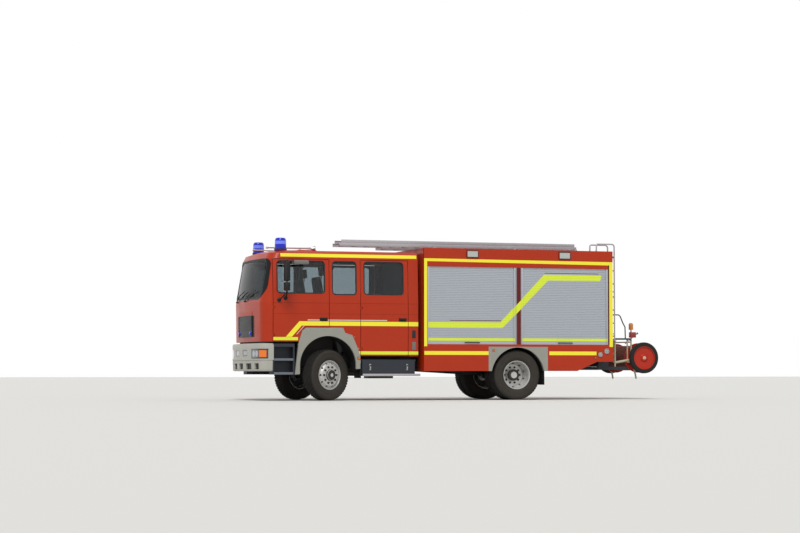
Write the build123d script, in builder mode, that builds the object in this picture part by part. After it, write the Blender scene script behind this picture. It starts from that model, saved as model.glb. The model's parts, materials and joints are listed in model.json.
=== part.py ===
"""A four-wheel-drive fire engine with a crew cab and an equipment body, at full size.

Axes: X forward, Y to the left, Z up, in millimetres. The origin is on the ground at the middle of
the overall length. Places along the vehicle are stations, counted forward from a cross plane
through the front wheel arches, and at(station) turns one into X.
"""

from build123d import *
from math import cos, radians, sin
import os

# Overall layout
BUMPER_FRONT = 1535.0
REEL_AXLE = -7225.0
REEL_WHEEL_D = 670.0
FRONT_AXLE = 25.0
REAR_AXLE = -4142.0
STEER_REST = 25.0  # degrees to the left, as parked
STEER_LOCK = 38.0
RUN_GAP = 0.08  # radial clearance of a turning fit
SEAT_GAP = 0.3  # clearance of a curved seat

# Tyres and wheels
TYRE_R = 522.0
TYRE_W = 290.0
BEAD_R = 290.0
RIM_W = 216.0
RIM_T = 12.0
FLANGE_R = 299.0
FRONT_WHEEL_Y = 1000.0
KINGPIN_Y = 940.0
KINGPIN_R = 22.0
TWIN_Y = (725.0, 1050.0)
SPINDLE_R = 45.0
HUB_R = 118.0
NUT_CIRCLE_R = 167.5

# Chassis
RAIL_Z = (700.0, 940.0)
RAIL_Y = (340.0, 410.0)
RAIL_T = 8.0
RAIL_X = (-6180.0, 1150.0)
CROSS_X = (1080.0, -1950.0, -2900.0, -3500.0, -4900.0, -6100.0)
CROSS_R = 45.0
SPRING_Y = 410.0
SPRING_W = 80.0
SPRING_HALF = 720.0
SPRING_T = 46.0
AXLE_R = 68.0
SEAT_TOP = 610.0

# Cab
CAB_HALF = 1150.0
CAB_WALL = 60.0
CAB_REAR = -1951.0
CAB_BOTTOM = 910.0
CREW_FLOOR = (960.0, 1010.0)
FRONT_BOTTOM = 1200.0
ARCH_TOP = 1490.0
ARCH_R = 600.0
ARCH_Z = 720.0
BOW = 90.0
CORNER_R = 250.0
# Plan sections of the cab: height, foremost station, half width
CAB_SECTIONS = (
    (CAB_BOTTOM, 1440.0, CAB_HALF),
    (2000.0, 1455.0, CAB_HALF),
    (2890.0, 1318.0, 1108.0),
    (3010.0, 1262.0, 1085.0),
    (3062.0, 1110.0, 1000.0),
)
# Side outline of the wheel arch moulding, front foot to rear foot: station, height
ARCH_OUTLINE = (
    (703.0, 533.0),
    (622.0, FRONT_BOTTOM),
    (548.0, 1430.0),
    (470.0, ARCH_TOP),
    (-318.0, ARCH_TOP),
    (-366.0, 1383.0),
    (-516.0, 1340.0),
    (-618.0, 1110.0),
    (-690.0, CAB_BOTTOM),
    (-700.0, 653.0),
)

# Doors
DOOR_GAP = 11.0
DOOR_TOP = 2880.0
DOOR_SET = 8.0  # gap between a door's inner face and the floor's edge
HINGE_SET = (16.0, 9.0)  # axis behind the door's front edge and inside its skin
HINGE_POCKET_R = 22.0
HINGE_EYE_R = 14.0
HINGE_PIN_R = 6.0
HINGE_LUG_H = 30.0
HINGE_POCKET_H = 44.0
# Doors: name, front edge, rear edge, bottom, window front and rear, window bottom, hinge heights
DOORS = (
    ("front", 1159.0, -20.0, 1206.0, (1075.0, 72.0), 2190.0, (1330.0, 1900.0)),
    ("crew", -704.0, -1727.0, 916.0, (-780.0, -1625.0), 2178.0, (1060.0, 1900.0)),
)
WINDOW_TOP = 2842.0
MIDDLE_WINDOW = (-99.0, -605.0)
MIDDLE_WINDOW_BOTTOM = 2170.0
WINDOW_R = 70.0
GLASS = (14.0, 22.0)  # outer and inner face of a pane, inside the skin
WINDSCREEN_Z = (2085.0, 2890.0)
WINDSCREEN_HALF = 985.0
WINDSCREEN_R = 170.0

# Equipment body
BODY_FRONT = -2043.0
BODY_REAR = -6320.0
BODY_HALF = 1250.0
BODY_WALL = 45.0
BODY_TOP = 3156.0
OPENING_TOP = 2774.0
DECK_Z = (2900.0, 2945.0)
FLOOR_Z = (1117.0, 1162.0)
SKIRT_Z = 605.0
SKIRT_DEPTH = 430.0
TAIL_Z = 802.0
# Side bays closed by a shutter: front edge, rear edge
BAYS = ((-2122.0, -4096.0), (-4219.0, -6213.0))
REAR_BAY_HALF = 700.0
SHUTTER_INSET = 22.0
SHUTTER_T = 14.0
SLAT_PITCH = 36.0
ARCH_PANEL = (-3476.0, -4819.0)
REAR_ARCH_R = 600.0

SIDES = (("left", 1), ("right", -1))
REEL_AXLE_Z = 890.0
REAR_END = REEL_AXLE - REEL_WHEEL_D / 2
MIDDLE = (BUMPER_FRONT + REAR_END) / 2
FAR = 9000.0  # longer than the vehicle, for cuts that run right through


def at(station):
    """X of a station."""
    return station - MIDDLE


def block(stations, ys, zs, mode=Mode.ADD):
    """A box between two stations, two widths and two heights, in the part being built."""
    with Locations((at(sum(stations) / 2), sum(ys) / 2, sum(zs) / 2)):
        Box(abs(stations[1] - stations[0]), abs(ys[1] - ys[0]), abs(zs[1] - zs[0]), mode=mode)


def rod(start, end, radius, mode=Mode.ADD):
    """A round bar between two points given as station, y, z."""
    a = Vector(at(start[0]), start[1], start[2])
    b = Vector(at(end[0]), end[1], end[2])
    with Locations(Plane(origin=a, z_dir=b - a).location):
        Cylinder(radius, (b - a).length, align=(Align.CENTER, Align.CENTER, Align.MIN), mode=mode)


def side_prism(points, ys, mode=Mode.ADD):
    """A side outline of (station, height) points, from one width to another."""
    with BuildSketch(Plane.XZ.offset(-ys[1])) as outline:
        with BuildLine():
            Polyline(*[(at(x), z) for x, z in points], close=True)
        make_face()
    extrude(outline.sketch, amount=abs(ys[1] - ys[0]), mode=mode)


def rounded_side_prism(stations, zs, ys, radius, mode=Mode.ADD):
    """A side-on rectangle with round corners, from one width to another."""
    with BuildSketch(Plane.XZ.offset(-ys[1])) as outline:
        with Locations((at(sum(stations) / 2), sum(zs) / 2)):
            RectangleRounded(abs(stations[1] - stations[0]), abs(zs[1] - zs[0]), radius)
    extrude(outline.sketch, amount=abs(ys[1] - ys[0]), mode=mode)


def turned(centre, axis, points):
    """A ring turned about an axis through centre, from points given as distance out, radius."""
    section = Plane(origin=centre, x_dir=axis, z_dir=Vector(*axis).cross(Vector(0, 0, 1)))
    with BuildSketch(section) as profile:
        with BuildLine():
            Polyline(*points, close=True)
        make_face()
    revolve(profile.sketch, axis=Axis(centre, axis))


def save(part, label):
    """Name a finished piece and write it."""
    part.label = label
    export_step(part, f"parts/{label}.step")


def cab_form(inset, bottom=CAB_BOTTOM, floored=True):
    """The cab's closed form, drawn in by an inset on every face, with its stepped floor."""
    with BuildPart() as form:
        for height, front, half in CAB_SECTIONS:
            z = bottom if height == CAB_BOTTOM else height - inset * (height > 2900)
            corner = front - BOW - inset
            with BuildSketch(Plane.XY.offset(z)) as section:
                with BuildLine():
                    Polyline(
                        (at(corner), half - inset),
                        (at(CAB_REAR + inset), half - inset),
                        (at(CAB_REAR + inset), inset - half),
                        (at(corner), inset - half),
                    )
                    ThreePointArc(
                        (at(corner), inset - half),
                        (at(front - inset), 0),
                        (at(corner), half - inset),
                    )
                make_face()
                fillet(section.vertices().group_by(Axis.X)[-1], CORNER_R - inset)
        loft(ruled=True)
        # Space below the floor: the front footwell, the wheel arches and the crew's footwell
        raised = [
            (x + (inset if x > 0 else -inset), z + inset)
            for x, z in ARCH_OUTLINE[1:-1]
        ]
        if floored:
            side_prism(
                [(2000, 0), (2000, FRONT_BOTTOM + inset), *raised, (raised[-1][0], 0)],
                (-2000, 2000),
                mode=Mode.SUBTRACT,
            )
    return form.part


def door_outline(door, gap, ys, mode=Mode.ADD):
    """The outline of a door grown by a gap, between two widths."""
    name, front, rear, bottom, window, window_bottom, hinges = door
    points = [(front + gap, DOOR_TOP + gap), (front + gap, bottom - gap)]
    if name == "front":
        sill = [(x, z) for x, z in ARCH_OUTLINE[1:4]]
        points += [(sill[0][0] - gap, bottom - gap), (sill[1][0] - gap, sill[1][1] + 12 - gap)]
        points += [(sill[2][0] - gap, sill[2][1] + 12 - gap), (rear - gap, sill[2][1] + 12 - gap)]
    else:
        points += [(rear - gap, bottom - gap)]
    points += [(rear - gap, DOOR_TOP + gap)]
    side_prism(points, ys, mode=mode)


def side_range(side, low=700.0, high=1400.0):
    """Two widths on one side of the vehicle, in rising order."""
    return (low, high) if side > 0 else (-high, -low)


def save_pair(part, label):
    """Write a left piece and its mirror image."""
    save(part, f"{label}_left")
    with BuildPart() as other:
        mirror(part, about=Plane.XZ)
    save(other.part, f"{label}_right")


os.makedirs("parts", exist_ok=True)

CAB_OUTER = cab_form(0)
CAB_INNER = cab_form(CAB_WALL, CREW_FLOOR[1])
CAB_CORE = cab_form(CAB_WALL, CAB_BOTTOM - 10, floored=False)
PANE_OUTER = cab_form(GLASS[0])
PANE_INNER = cab_form(GLASS[1])


def door_piece(door, gap, side):
    """The stretch of side wall inside a door's outline, grown by a gap."""
    with BuildPart() as piece:
        add(CAB_OUTER)
        add(CAB_CORE, mode=Mode.SUBTRACT)
        door_outline(door, gap, side_range(side), Mode.INTERSECT)
    return piece.part


# Cab shell: walls, floor and roof, with the door openings and windows cut
with BuildPart() as cab_shell:
    add(CAB_OUTER)
    add(CAB_INNER, mode=Mode.SUBTRACT)
    block((-600, -FAR), (CAB_WALL - CAB_HALF, CAB_HALF - CAB_WALL),
          (0, CREW_FLOOR[0]), mode=Mode.SUBTRACT)
    for _, side in SIDES:
        for door in DOORS:
            add(door_piece(door, DOOR_GAP, side), mode=Mode.SUBTRACT)
            inner = side * (CAB_HALF - CAB_WALL)
            block((door[1] + DOOR_GAP, door[2] - DOOR_GAP), sorted((inner, inner - side * DOOR_SET)),
                  (door[3] - DOOR_GAP, MIDDLE_WINDOW_BOTTOM), mode=Mode.SUBTRACT)
        rounded_side_prism(
            MIDDLE_WINDOW, (MIDDLE_WINDOW_BOTTOM, WINDOW_TOP), side_range(side), WINDOW_R,
            mode=Mode.SUBTRACT,
        )
    with BuildSketch(Plane.YZ.offset(at(1200))):
        with Locations((0, sum(WINDSCREEN_Z) / 2)):
            RectangleRounded(
                2 * WINDSCREEN_HALF, WINDSCREEN_Z[1] - WINDSCREEN_Z[0], WINDSCREEN_R
            )
    extrude(amount=800, mode=Mode.SUBTRACT)
    for name, front, rear, bottom, window, window_bottom, hinges in DOORS:
        for _, side in SIDES:
            for z in hinges:
                axis_y = side * (CAB_HALF - HINGE_SET[1])
                axis_x = front - HINGE_SET[0]
                lug = (z - HINGE_LUG_H / 2, z + HINGE_LUG_H / 2)
                block((axis_x, front + DOOR_GAP + 10), (axis_y - 7, axis_y + 7), lug)
                rod((axis_x, axis_y, lug[0]), (axis_x, axis_y, lug[1]), HINGE_EYE_R)
                rod(
                    (axis_x, axis_y, lug[0] - 1), (axis_x, axis_y, lug[1] + 1),
                    HINGE_PIN_R + RUN_GAP, mode=Mode.SUBTRACT,
                )
save(cab_shell.part, "cab_shell")

# Windscreen, set into the cab's front
with BuildPart() as windscreen:
    add(PANE_OUTER)
    add(PANE_INNER, mode=Mode.SUBTRACT)
    with BuildSketch(Plane.YZ.offset(at(1000))):
        with Locations((0, sum(WINDSCREEN_Z) / 2)):
            RectangleRounded(
                2 * WINDSCREEN_HALF - 2 * SEAT_GAP,
                WINDSCREEN_Z[1] - WINDSCREEN_Z[0] - 2 * SEAT_GAP,
                WINDSCREEN_R,
            )
    extrude(amount=800, mode=Mode.INTERSECT)
save(windscreen.part, "windscreen")

# Fixed panes between the doors, both sides
with BuildPart() as cab_side_glass:
    add(PANE_OUTER)
    add(PANE_INNER, mode=Mode.SUBTRACT)
    rounded_side_prism(
        (MIDDLE_WINDOW[0] - SEAT_GAP, MIDDLE_WINDOW[1] + SEAT_GAP),
        (MIDDLE_WINDOW_BOTTOM + SEAT_GAP, WINDOW_TOP - SEAT_GAP),
        (-1400, 1400), WINDOW_R, mode=Mode.INTERSECT,
    )
save(cab_side_glass.part, "cab_side_glass")

# Doors and their panes
HANDLE_R = 12.0
HANDLE_Z = 1660.0
for door_row in DOORS:
    name, front, rear, bottom, window, window_bottom, hinges = door_row
    with BuildPart() as door:
        add(door_piece(door_row, 0, 1))
        rounded_side_prism(
            window, (window_bottom, WINDOW_TOP), side_range(1), WINDOW_R, mode=Mode.SUBTRACT
        )
        axis_x = front - HINGE_SET[0]
        axis_y = CAB_HALF - HINGE_SET[1]
        for z in hinges:
            low = z - HINGE_POCKET_H / 2
            high = z + HINGE_POCKET_H / 2
            rod((axis_x, axis_y, low), (axis_x, axis_y, high), HINGE_POCKET_R, mode=Mode.SUBTRACT)
            rod((axis_x, axis_y, low - 5), (axis_x, axis_y, high + 5), HINGE_PIN_R)
        handle_x = rear + 115
        handle_y = CAB_HALF + 22
        rod((handle_x - 60, handle_y, HANDLE_Z), (handle_x + 60, handle_y, HANDLE_Z), HANDLE_R)
        for end in (-50, 50):
            rod((handle_x + end, CAB_HALF - 8, HANDLE_Z), (handle_x + end, handle_y, HANDLE_Z), 9)
    save_pair(door.part, f"{name}_door")

    with BuildPart() as pane:
        add(PANE_OUTER)
        add(PANE_INNER, mode=Mode.SUBTRACT)
        rounded_side_prism(
            (window[0] - SEAT_GAP, window[1] + SEAT_GAP),
            (window_bottom + SEAT_GAP, WINDOW_TOP - SEAT_GAP),
            side_range(1), WINDOW_R, mode=Mode.INTERSECT,
        )
    save_pair(pane.part, f"{name}_glass")

# Mirrors on the front doors: two arms, a main head and a wide-angle head
MIRROR_Y = 1395.0
MIRROR_X = 945.0
with BuildPart() as door_mirror:
    for x, z in ((1040, 2045), (905, 2085)):
        rod((x, CAB_HALF - 20, z), (x, CAB_HALF + 26, z), 42)
    rod((1040, CAB_HALF + 20, 2045), (MIRROR_X, MIRROR_Y, 2250), 13)
    rod((905, CAB_HALF + 20, 2085), (MIRROR_X, MIRROR_Y, 2330), 13)
    rod((MIRROR_X, MIRROR_Y, 2195), (MIRROR_X, MIRROR_Y, 2850), 13)
    for low, high in ((2420, 2810), (2225, 2395)):
        block((MIRROR_X - 45, MIRROR_X + 45), (MIRROR_Y - 110, MIRROR_Y + 110), (low, high))
    add(CAB_OUTER, mode=Mode.SUBTRACT)
save_pair(door_mirror.part, "mirror")

# Front panel's grille: a recessed frame with bars, and two flashers below
GRILLE_Z = (1300.0, 1820.0)
GRILLE_HALF = 520.0
with BuildPart() as grille:
    face = CAB_SECTIONS[1][1]
    block((face - BOW + 5, face + 14), (-GRILLE_HALF, GRILLE_HALF), GRILLE_Z)
    for count in range(5):
        z = GRILLE_Z[0] + 150 + count * 80
        block((face - 8, face + 30), (40 - GRILLE_HALF, GRILLE_HALF - 40), (z, z + 38),
              mode=Mode.SUBTRACT)
    add(CAB_OUTER, mode=Mode.SUBTRACT)
save(grille.part, "grille")

# Bumper: a bowed shell with lamp recesses and air slots
BUMPER_Z = (600.0, 1167.0)
BUMPER_REAR = 1187.0
BUMPER_BOW = 110.0
BUMPER_CORNER_R = 200.0
BUMPER_WALL = 90.0
LAMP_YS = (760.0, 1080.0)
LAMP_Z = (800.0, 985.0)
LAMP_DEPTH = 60.0
SLOTS = ((60.0, 250.0), (330.0, 520.0), (620.0, 800.0))


def bumper_form(inset):
    """The bumper's plan outline drawn in by an inset, over its full height."""
    with BuildPart() as form:
        with BuildSketch(Plane.XY.offset(BUMPER_Z[0])) as plan:
            corner = BUMPER_FRONT - BUMPER_BOW - inset
            half = CAB_HALF - inset
            with BuildLine():
                Polyline(
                    (at(corner), half), (at(BUMPER_REAR), half),
                    (at(BUMPER_REAR), -half), (at(corner), -half),
                )
                ThreePointArc((at(corner), -half), (at(BUMPER_FRONT - inset), 0), (at(corner), half))
            make_face()
            fillet(plan.vertices().group_by(Axis.X)[-1], BUMPER_CORNER_R - inset)
        extrude(amount=BUMPER_Z[1] - BUMPER_Z[0])
    return form.part


BUMPER_OUTER = bumper_form(0)
BUMPER_LAMP_BACK = bumper_form(LAMP_DEPTH)
with BuildPart() as bumper:
    add(BUMPER_OUTER)
    add(bumper_form(BUMPER_WALL), mode=Mode.SUBTRACT)
    block((RAIL_X[1], RAIL_X[1] + 8), (-600, 600), RAIL_Z)
    block((RAIL_X[1], BUMPER_FRONT - 60), (-600, 600), (RAIL_Z[1] - 12, RAIL_Z[1]))
    for y0, y1 in SLOTS:
        for _, side in SIDES:
            ys = sorted((side * y0, side * y1))
            block((BUMPER_REAR, FAR), ys, (650, 740), mode=Mode.SUBTRACT)
    for _, side in SIDES:
        ys = sorted((side * LAMP_YS[0], side * LAMP_YS[1]))
        with BuildPart(mode=Mode.PRIVATE) as recess:
            add(BUMPER_OUTER)
            add(BUMPER_LAMP_BACK, mode=Mode.SUBTRACT)
            block((BUMPER_REAR, FAR), ys, LAMP_Z, mode=Mode.INTERSECT)
        add(recess.part, mode=Mode.SUBTRACT)
save(bumper.part, "bumper")

# Headlamps seated in the bumper's recesses, with an orange turn lamp beside each
with BuildPart() as headlamps:
    add(bumper_form(8))
    add(bumper_form(LAMP_DEPTH - SEAT_GAP), mode=Mode.SUBTRACT)
    block((BUMPER_REAR, FAR), (-FAR, FAR), (LAMP_Z[0] + 1, LAMP_Z[1] - 1), mode=Mode.INTERSECT)
    block((BUMPER_REAR, FAR), (-LAMP_YS[0] - 1, LAMP_YS[0] + 1), LAMP_Z, mode=Mode.SUBTRACT)
    for _, side in SIDES:
        ys = sorted((side * (LAMP_YS[1] - 1), side * FAR))
        block((BUMPER_REAR, FAR), ys, LAMP_Z, mode=Mode.SUBTRACT)
save(headlamps.part, "headlamps")

# Entry steps under the front doors: a box with two treads cut in
STEP_X = (649.0 + 60.0, 1170.0)
STEP_Z = (533.0, 1160.0)
STEP_DEPTH = 280.0
with BuildPart() as entry_steps:
    for _, side in SIDES:
        outer = side * (CAB_HALF - 4)
        inner = side * (CAB_HALF - STEP_DEPTH)
        block(STEP_X, sorted((outer, inner)), STEP_Z)
        for z in (580, 860):
            block((STEP_X[0] + 30, STEP_X[1] - 30), sorted((side * FAR, side * (CAB_HALF - 190))),
                  (z, z + 235), mode=Mode.SUBTRACT)
        block((STEP_X[0] + 100, STEP_X[1] - 100), sorted((side * (RAIL_Y[1] + SEAT_GAP), inner)),
              (RAIL_Z[0] + 80, RAIL_Z[0] + 150))
save(entry_steps.part, "entry_steps")

# Front wheel arches: a moulding along the cab's edge with an inner liner
ARCH_Y = (640.0, 1162.0)
with BuildPart() as front_arches:
    for _, side in SIDES:
        ys = sorted((side * ARCH_Y[0], side * ARCH_Y[1]))
        inset = [(x, z - SEAT_GAP) for x, z in ARCH_OUTLINE]
        side_prism(inset, ys)
    rod((0, -FAR, ARCH_Z), (0, FAR, ARCH_Z), ARCH_R, mode=Mode.SUBTRACT)
    block((-ARCH_R, ARCH_R), (-FAR, FAR), (0, ARCH_Z), mode=Mode.SUBTRACT)
save(front_arches.part, "front_arches")

# Equipment body: hollow shell with the side bays and the rear bay open, deck, floor and skirts
with BuildPart() as body_shell:
    block((BODY_FRONT, BODY_REAR), (-BODY_HALF, BODY_HALF), (FLOOR_Z[0], BODY_TOP))
    block(
        (BODY_FRONT - BODY_WALL, BODY_REAR + BODY_WALL),
        (BODY_WALL - BODY_HALF, BODY_HALF - BODY_WALL), (FLOOR_Z[1], DECK_Z[0]),
        mode=Mode.SUBTRACT,
    )
    block(
        (BODY_FRONT - BODY_WALL, BODY_REAR + BODY_WALL),
        (BODY_WALL - BODY_HALF, BODY_HALF - BODY_WALL), (DECK_Z[1], BODY_TOP + 10),
        mode=Mode.SUBTRACT,
    )
    for front, rear in BAYS:
        block((front, rear), (-FAR, FAR), (FLOOR_Z[1], OPENING_TOP), mode=Mode.SUBTRACT)
    block((BODY_REAR - 10, BODY_REAR + 200), (-REAR_BAY_HALF, REAR_BAY_HALF),
          (FLOOR_Z[1], OPENING_TOP), mode=Mode.SUBTRACT)
    # Cross walls between the bays
    for x in (BAYS[0][1], BAYS[1][0]):
        block((x - 15, x + 15), (BODY_WALL - BODY_HALF, BODY_HALF - BODY_WALL),
              (FLOOR_Z[1], DECK_Z[0]))
save(body_shell.part, "body_shell")

# Skirt lockers below the body: front stretch, arch panels and slanted tail
SKIRTS = (
    ((BODY_FRONT, SKIRT_Z), (ARCH_PANEL[0], SKIRT_Z), (ARCH_PANEL[0], FLOOR_Z[0]),
     (BODY_FRONT, FLOOR_Z[0])),
    ((ARCH_PANEL[1], SKIRT_Z), (-5492.0, SKIRT_Z), (-5951.0, TAIL_Z), (BODY_REAR, TAIL_Z),
     (BODY_REAR, FLOOR_Z[0]), (ARCH_PANEL[1], FLOOR_Z[0])),
)
with BuildPart() as body_skirts:
    for points in SKIRTS:
        for _, side in SIDES:
            ys = sorted((side * BODY_HALF, side * (BODY_HALF - SKIRT_DEPTH)))
            side_prism(points, ys)
save(body_skirts.part, "body_skirts")

# Rear wheel arches: side panels with a round opening and a liner behind
REAR_ARCH_Z = 500.0
with BuildPart() as rear_arches:
    for _, side in SIDES:
        outer = side * (BODY_HALF - 4)
        block(ARCH_PANEL, sorted((outer, side * (BODY_HALF - 690))), (SKIRT_Z, FLOOR_Z[0]))
    rod((REAR_AXLE, -FAR, REAR_ARCH_Z), (REAR_AXLE, FAR, REAR_ARCH_Z), REAR_ARCH_R,
        mode=Mode.SUBTRACT)
save(rear_arches.part, "rear_arches")

# Roller shutters of the side bays and the rear bay, each a ribbed sheet with a bar handle
with BuildPart() as shutters:
    for front, rear in BAYS:
        for _, side in SIDES:
            face = BODY_HALF - SHUTTER_INSET
            zs = (FLOOR_Z[1], OPENING_TOP)
            block((front, rear), sorted((side * face, side * (face - SHUTTER_T))), zs)
            block((front, rear), sorted((side * (face + 14), side * face)), (zs[0], zs[0] + 60))
            middle = (front + rear) / 2
            bar_y = side * (BODY_HALF + 12)
            rod((middle - 330, bar_y, zs[0] + 30), (middle + 330, bar_y, zs[0] + 30), 11)
            for x in (-300, 300):
                rod((middle + x, side * (face + 10), zs[0] + 30), (middle + x, bar_y, zs[0] + 30), 9)
    block((BODY_REAR + SHUTTER_INSET, BODY_REAR + SHUTTER_INSET + SHUTTER_T),
          (-REAR_BAY_HALF, REAR_BAY_HALF), (FLOOR_Z[1], OPENING_TOP))
save(shutters.part, "shutters")

# Scene lamps in the roof band, two a side
SCENE_LAMPS = ((-3000.0, -3230.0), (-5085.0, -5322.0))
with BuildPart() as scene_lamps:
    for front, rear in SCENE_LAMPS:
        for _, side in SIDES:
            block((front, rear), sorted((side * BODY_HALF, side * (BODY_HALF + 22))),
                  (2985, 3105))
save(scene_lamps.part, "scene_lamps")

# Chassis frame: two channel rails, round cross members and the tow eyes
with BuildPart() as chassis_frame:
    for _, side in SIDES:
        block(RAIL_X, sorted((side * (RAIL_Y[1] - RAIL_T), side * RAIL_Y[1])), RAIL_Z)
        for z in (RAIL_Z[0], RAIL_Z[1] - RAIL_T):
            block(RAIL_X, sorted((side * RAIL_Y[0], side * RAIL_Y[1])), (z, z + RAIL_T))
    for x in CROSS_X:
        rod((x, RAIL_T / 2 - RAIL_Y[1], sum(RAIL_Z) / 2), (x, RAIL_Y[1] - RAIL_T / 2, sum(RAIL_Z) / 2),
            CROSS_R)
    # Cab and body bearers stand on the rails
    for _, side in SIDES:
        ys = sorted((side * RAIL_Y[0], side * RAIL_Y[1]))
        block((900, 1100), ys, (RAIL_Z[1], FRONT_BOTTOM))
        for x in (-2300, -3300, -4900, -6100):
            block((x - 60, x + 60), ys, (RAIL_Z[1], FLOOR_Z[0]))
save(chassis_frame.part, "chassis_frame")

# Engine as one block between the rails, under the raised floor
ENGINE_X = (540.0, -360.0)
ENGINE_Z = (690.0, 1340.0)
with BuildPart() as engine_block:
    block(ENGINE_X, (-310, 310), ENGINE_Z)
    block((60, 160), (RAIL_T - RAIL_Y[1], RAIL_Y[1] - RAIL_T), (780, 860))
save(engine_block.part, "engine_block")

# Gearbox, transfer case and propeller shafts
with BuildPart() as driveline:
    rod((ENGINE_X[1], 0, 745), (-1150, 0, 745), 185)
    block((-1750, -1150), (-240, 200), (600, 920))
    for y in (-RAIL_Y[0] - 20, 200):
        block((-1500, -1400), (y, y + 160), (700 + RAIL_T, 780)) if y > 0 else block(
            (-1500, -1400), (-RAIL_Y[1] + RAIL_T, -240), (700 + RAIL_T, 780))
    rod((-1750, 0, 680), (REAR_AXLE + 345, 0, 561), 55)
    rod((-1150, -180, 640), (FRONT_AXLE - 114, -180, 540), 38)
save(driveline.part, "driveline")

# Leaf springs with their hangers under the rails
with BuildPart() as leaf_springs:
    for axle in (FRONT_AXLE, REAR_AXLE):
        for _, side in SIDES:
            with BuildSketch(Plane.XZ.offset(-side * SPRING_Y + SPRING_W / 2)) as leaf:
                with BuildLine():
                    ThreePointArc((at(axle - SPRING_HALF), 668), (at(axle), SEAT_TOP),
                                  (at(axle + SPRING_HALF), 668))
                    Line((at(axle + SPRING_HALF), 668), (at(axle + SPRING_HALF), 680))
                    ThreePointArc((at(axle + SPRING_HALF), 680), (at(axle), SEAT_TOP + SPRING_T),
                                  (at(axle - SPRING_HALF), 680))
                    Line((at(axle - SPRING_HALF), 680), (at(axle - SPRING_HALF), 668))
                make_face()
            extrude(leaf.sketch, amount=-SPRING_W)
            for end in (-SPRING_HALF, SPRING_HALF):
                ys = sorted((side * (SPRING_Y - SPRING_W / 2 + 8), side * (SPRING_Y - 5)))
                block((axle + end - 30, axle + end + 30), ys, (650, RAIL_Z[0]))
save(leaf_springs.part, "leaf_springs")

# Front axle: tube, differential and a fork for each kingpin
FORK_R = 38.0
FORK_Z = (100.0, 130.0)
FORK_WEB_Y = (850.0, 880.0)
with BuildPart() as front_axle:
    rod((FRONT_AXLE, -FORK_WEB_Y[0], TYRE_R), (FRONT_AXLE, FORK_WEB_Y[0], TYRE_R), AXLE_R)
    rod((FRONT_AXLE - 110, -180, TYRE_R), (FRONT_AXLE + 90, -180, TYRE_R), 150)
    for _, side in SIDES:
        block((FRONT_AXLE - 45, FRONT_AXLE + 45), sorted((side * y for y in FORK_WEB_Y)),
              (TYRE_R - FORK_Z[1], TYRE_R + FORK_Z[1]))
        for low, high in (FORK_Z, (-FORK_Z[1], -FORK_Z[0])):
            zs = (TYRE_R + low, TYRE_R + high)
            block((FRONT_AXLE - FORK_R, FRONT_AXLE + FORK_R),
                  sorted((side * FORK_WEB_Y[1], side * KINGPIN_Y)), zs)
            pin_y = side * KINGPIN_Y
            rod((FRONT_AXLE, pin_y, zs[0]), (FRONT_AXLE, pin_y, zs[1]), FORK_R)
            rod((FRONT_AXLE, pin_y, zs[0] - 1), (FRONT_AXLE, pin_y, zs[1] + 1),
                KINGPIN_R + RUN_GAP, mode=Mode.SUBTRACT)
        block((FRONT_AXLE - 60, FRONT_AXLE + 60),
              sorted((side * (SPRING_Y - SPRING_W / 2), side * (SPRING_Y + SPRING_W / 2))),
              (TYRE_R, SEAT_TOP - SEAT_GAP))
save(front_axle.part, "front_axle")

# Rear axle: tube, differential, spring seats and spindles
REAR_SPINDLE_END = 980.0
with BuildPart() as rear_axle:
    rod((REAR_AXLE, -700, TYRE_R), (REAR_AXLE, 700, TYRE_R), AXLE_R + 12)
    rod((REAR_AXLE, -REAR_SPINDLE_END, TYRE_R), (REAR_AXLE, REAR_SPINDLE_END, TYRE_R), SPINDLE_R)
    rod((REAR_AXLE - 130, 0, TYRE_R), (REAR_AXLE + 130, 0, TYRE_R), 200)
    rod((REAR_AXLE + 130, 0, 560), (REAR_AXLE + 330 - RUN_GAP, 0, 560), 70)
    for _, side in SIDES:
        block((REAR_AXLE - 60, REAR_AXLE + 60),
              sorted((side * (SPRING_Y - SPRING_W / 2), side * (SPRING_Y + SPRING_W / 2))),
              (TYRE_R, SEAT_TOP - SEAT_GAP))
save(rear_axle.part, "rear_axle")


def rest_axis(side):
    """Outward direction of a front wheel's spindle as parked."""
    return (-side * sin(radians(STEER_REST)), side * cos(radians(STEER_REST)), 0)


def kingpin(side):
    """Point on a kingpin at wheel height."""
    return Vector(at(FRONT_AXLE), side * KINGPIN_Y, TYRE_R)


# Knuckles, turned as parked: kingpin, body and spindle
FRONT_SPINDLE = 160.0
WHEEL_OUT = FRONT_WHEEL_Y - KINGPIN_Y
for hand, side in SIDES:
    with BuildPart() as knuckle:
        pin = kingpin(side)
        with Locations((pin.X, pin.Y, pin.Z)):
            Cylinder(KINGPIN_R, 2 * FORK_Z[1])
            Cylinder(FORK_R, 2 * (FORK_Z[0] - 5))
        turned(pin, rest_axis(side), [
            (0, 0), (0, SPINDLE_R), (WHEEL_OUT + FRONT_SPINDLE, SPINDLE_R),
            (WHEEL_OUT + FRONT_SPINDLE, 0),
        ])
    save(knuckle.part, f"knuckle_{hand}")

BEAD_SEAT_R = BEAD_R - SEAT_GAP
RIM_IN_R = BEAD_SEAT_R - RIM_T
HALF_RIM = RIM_W / 2
TWIN_HALF = (TWIN_Y[1] - TWIN_Y[0]) / 2
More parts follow.
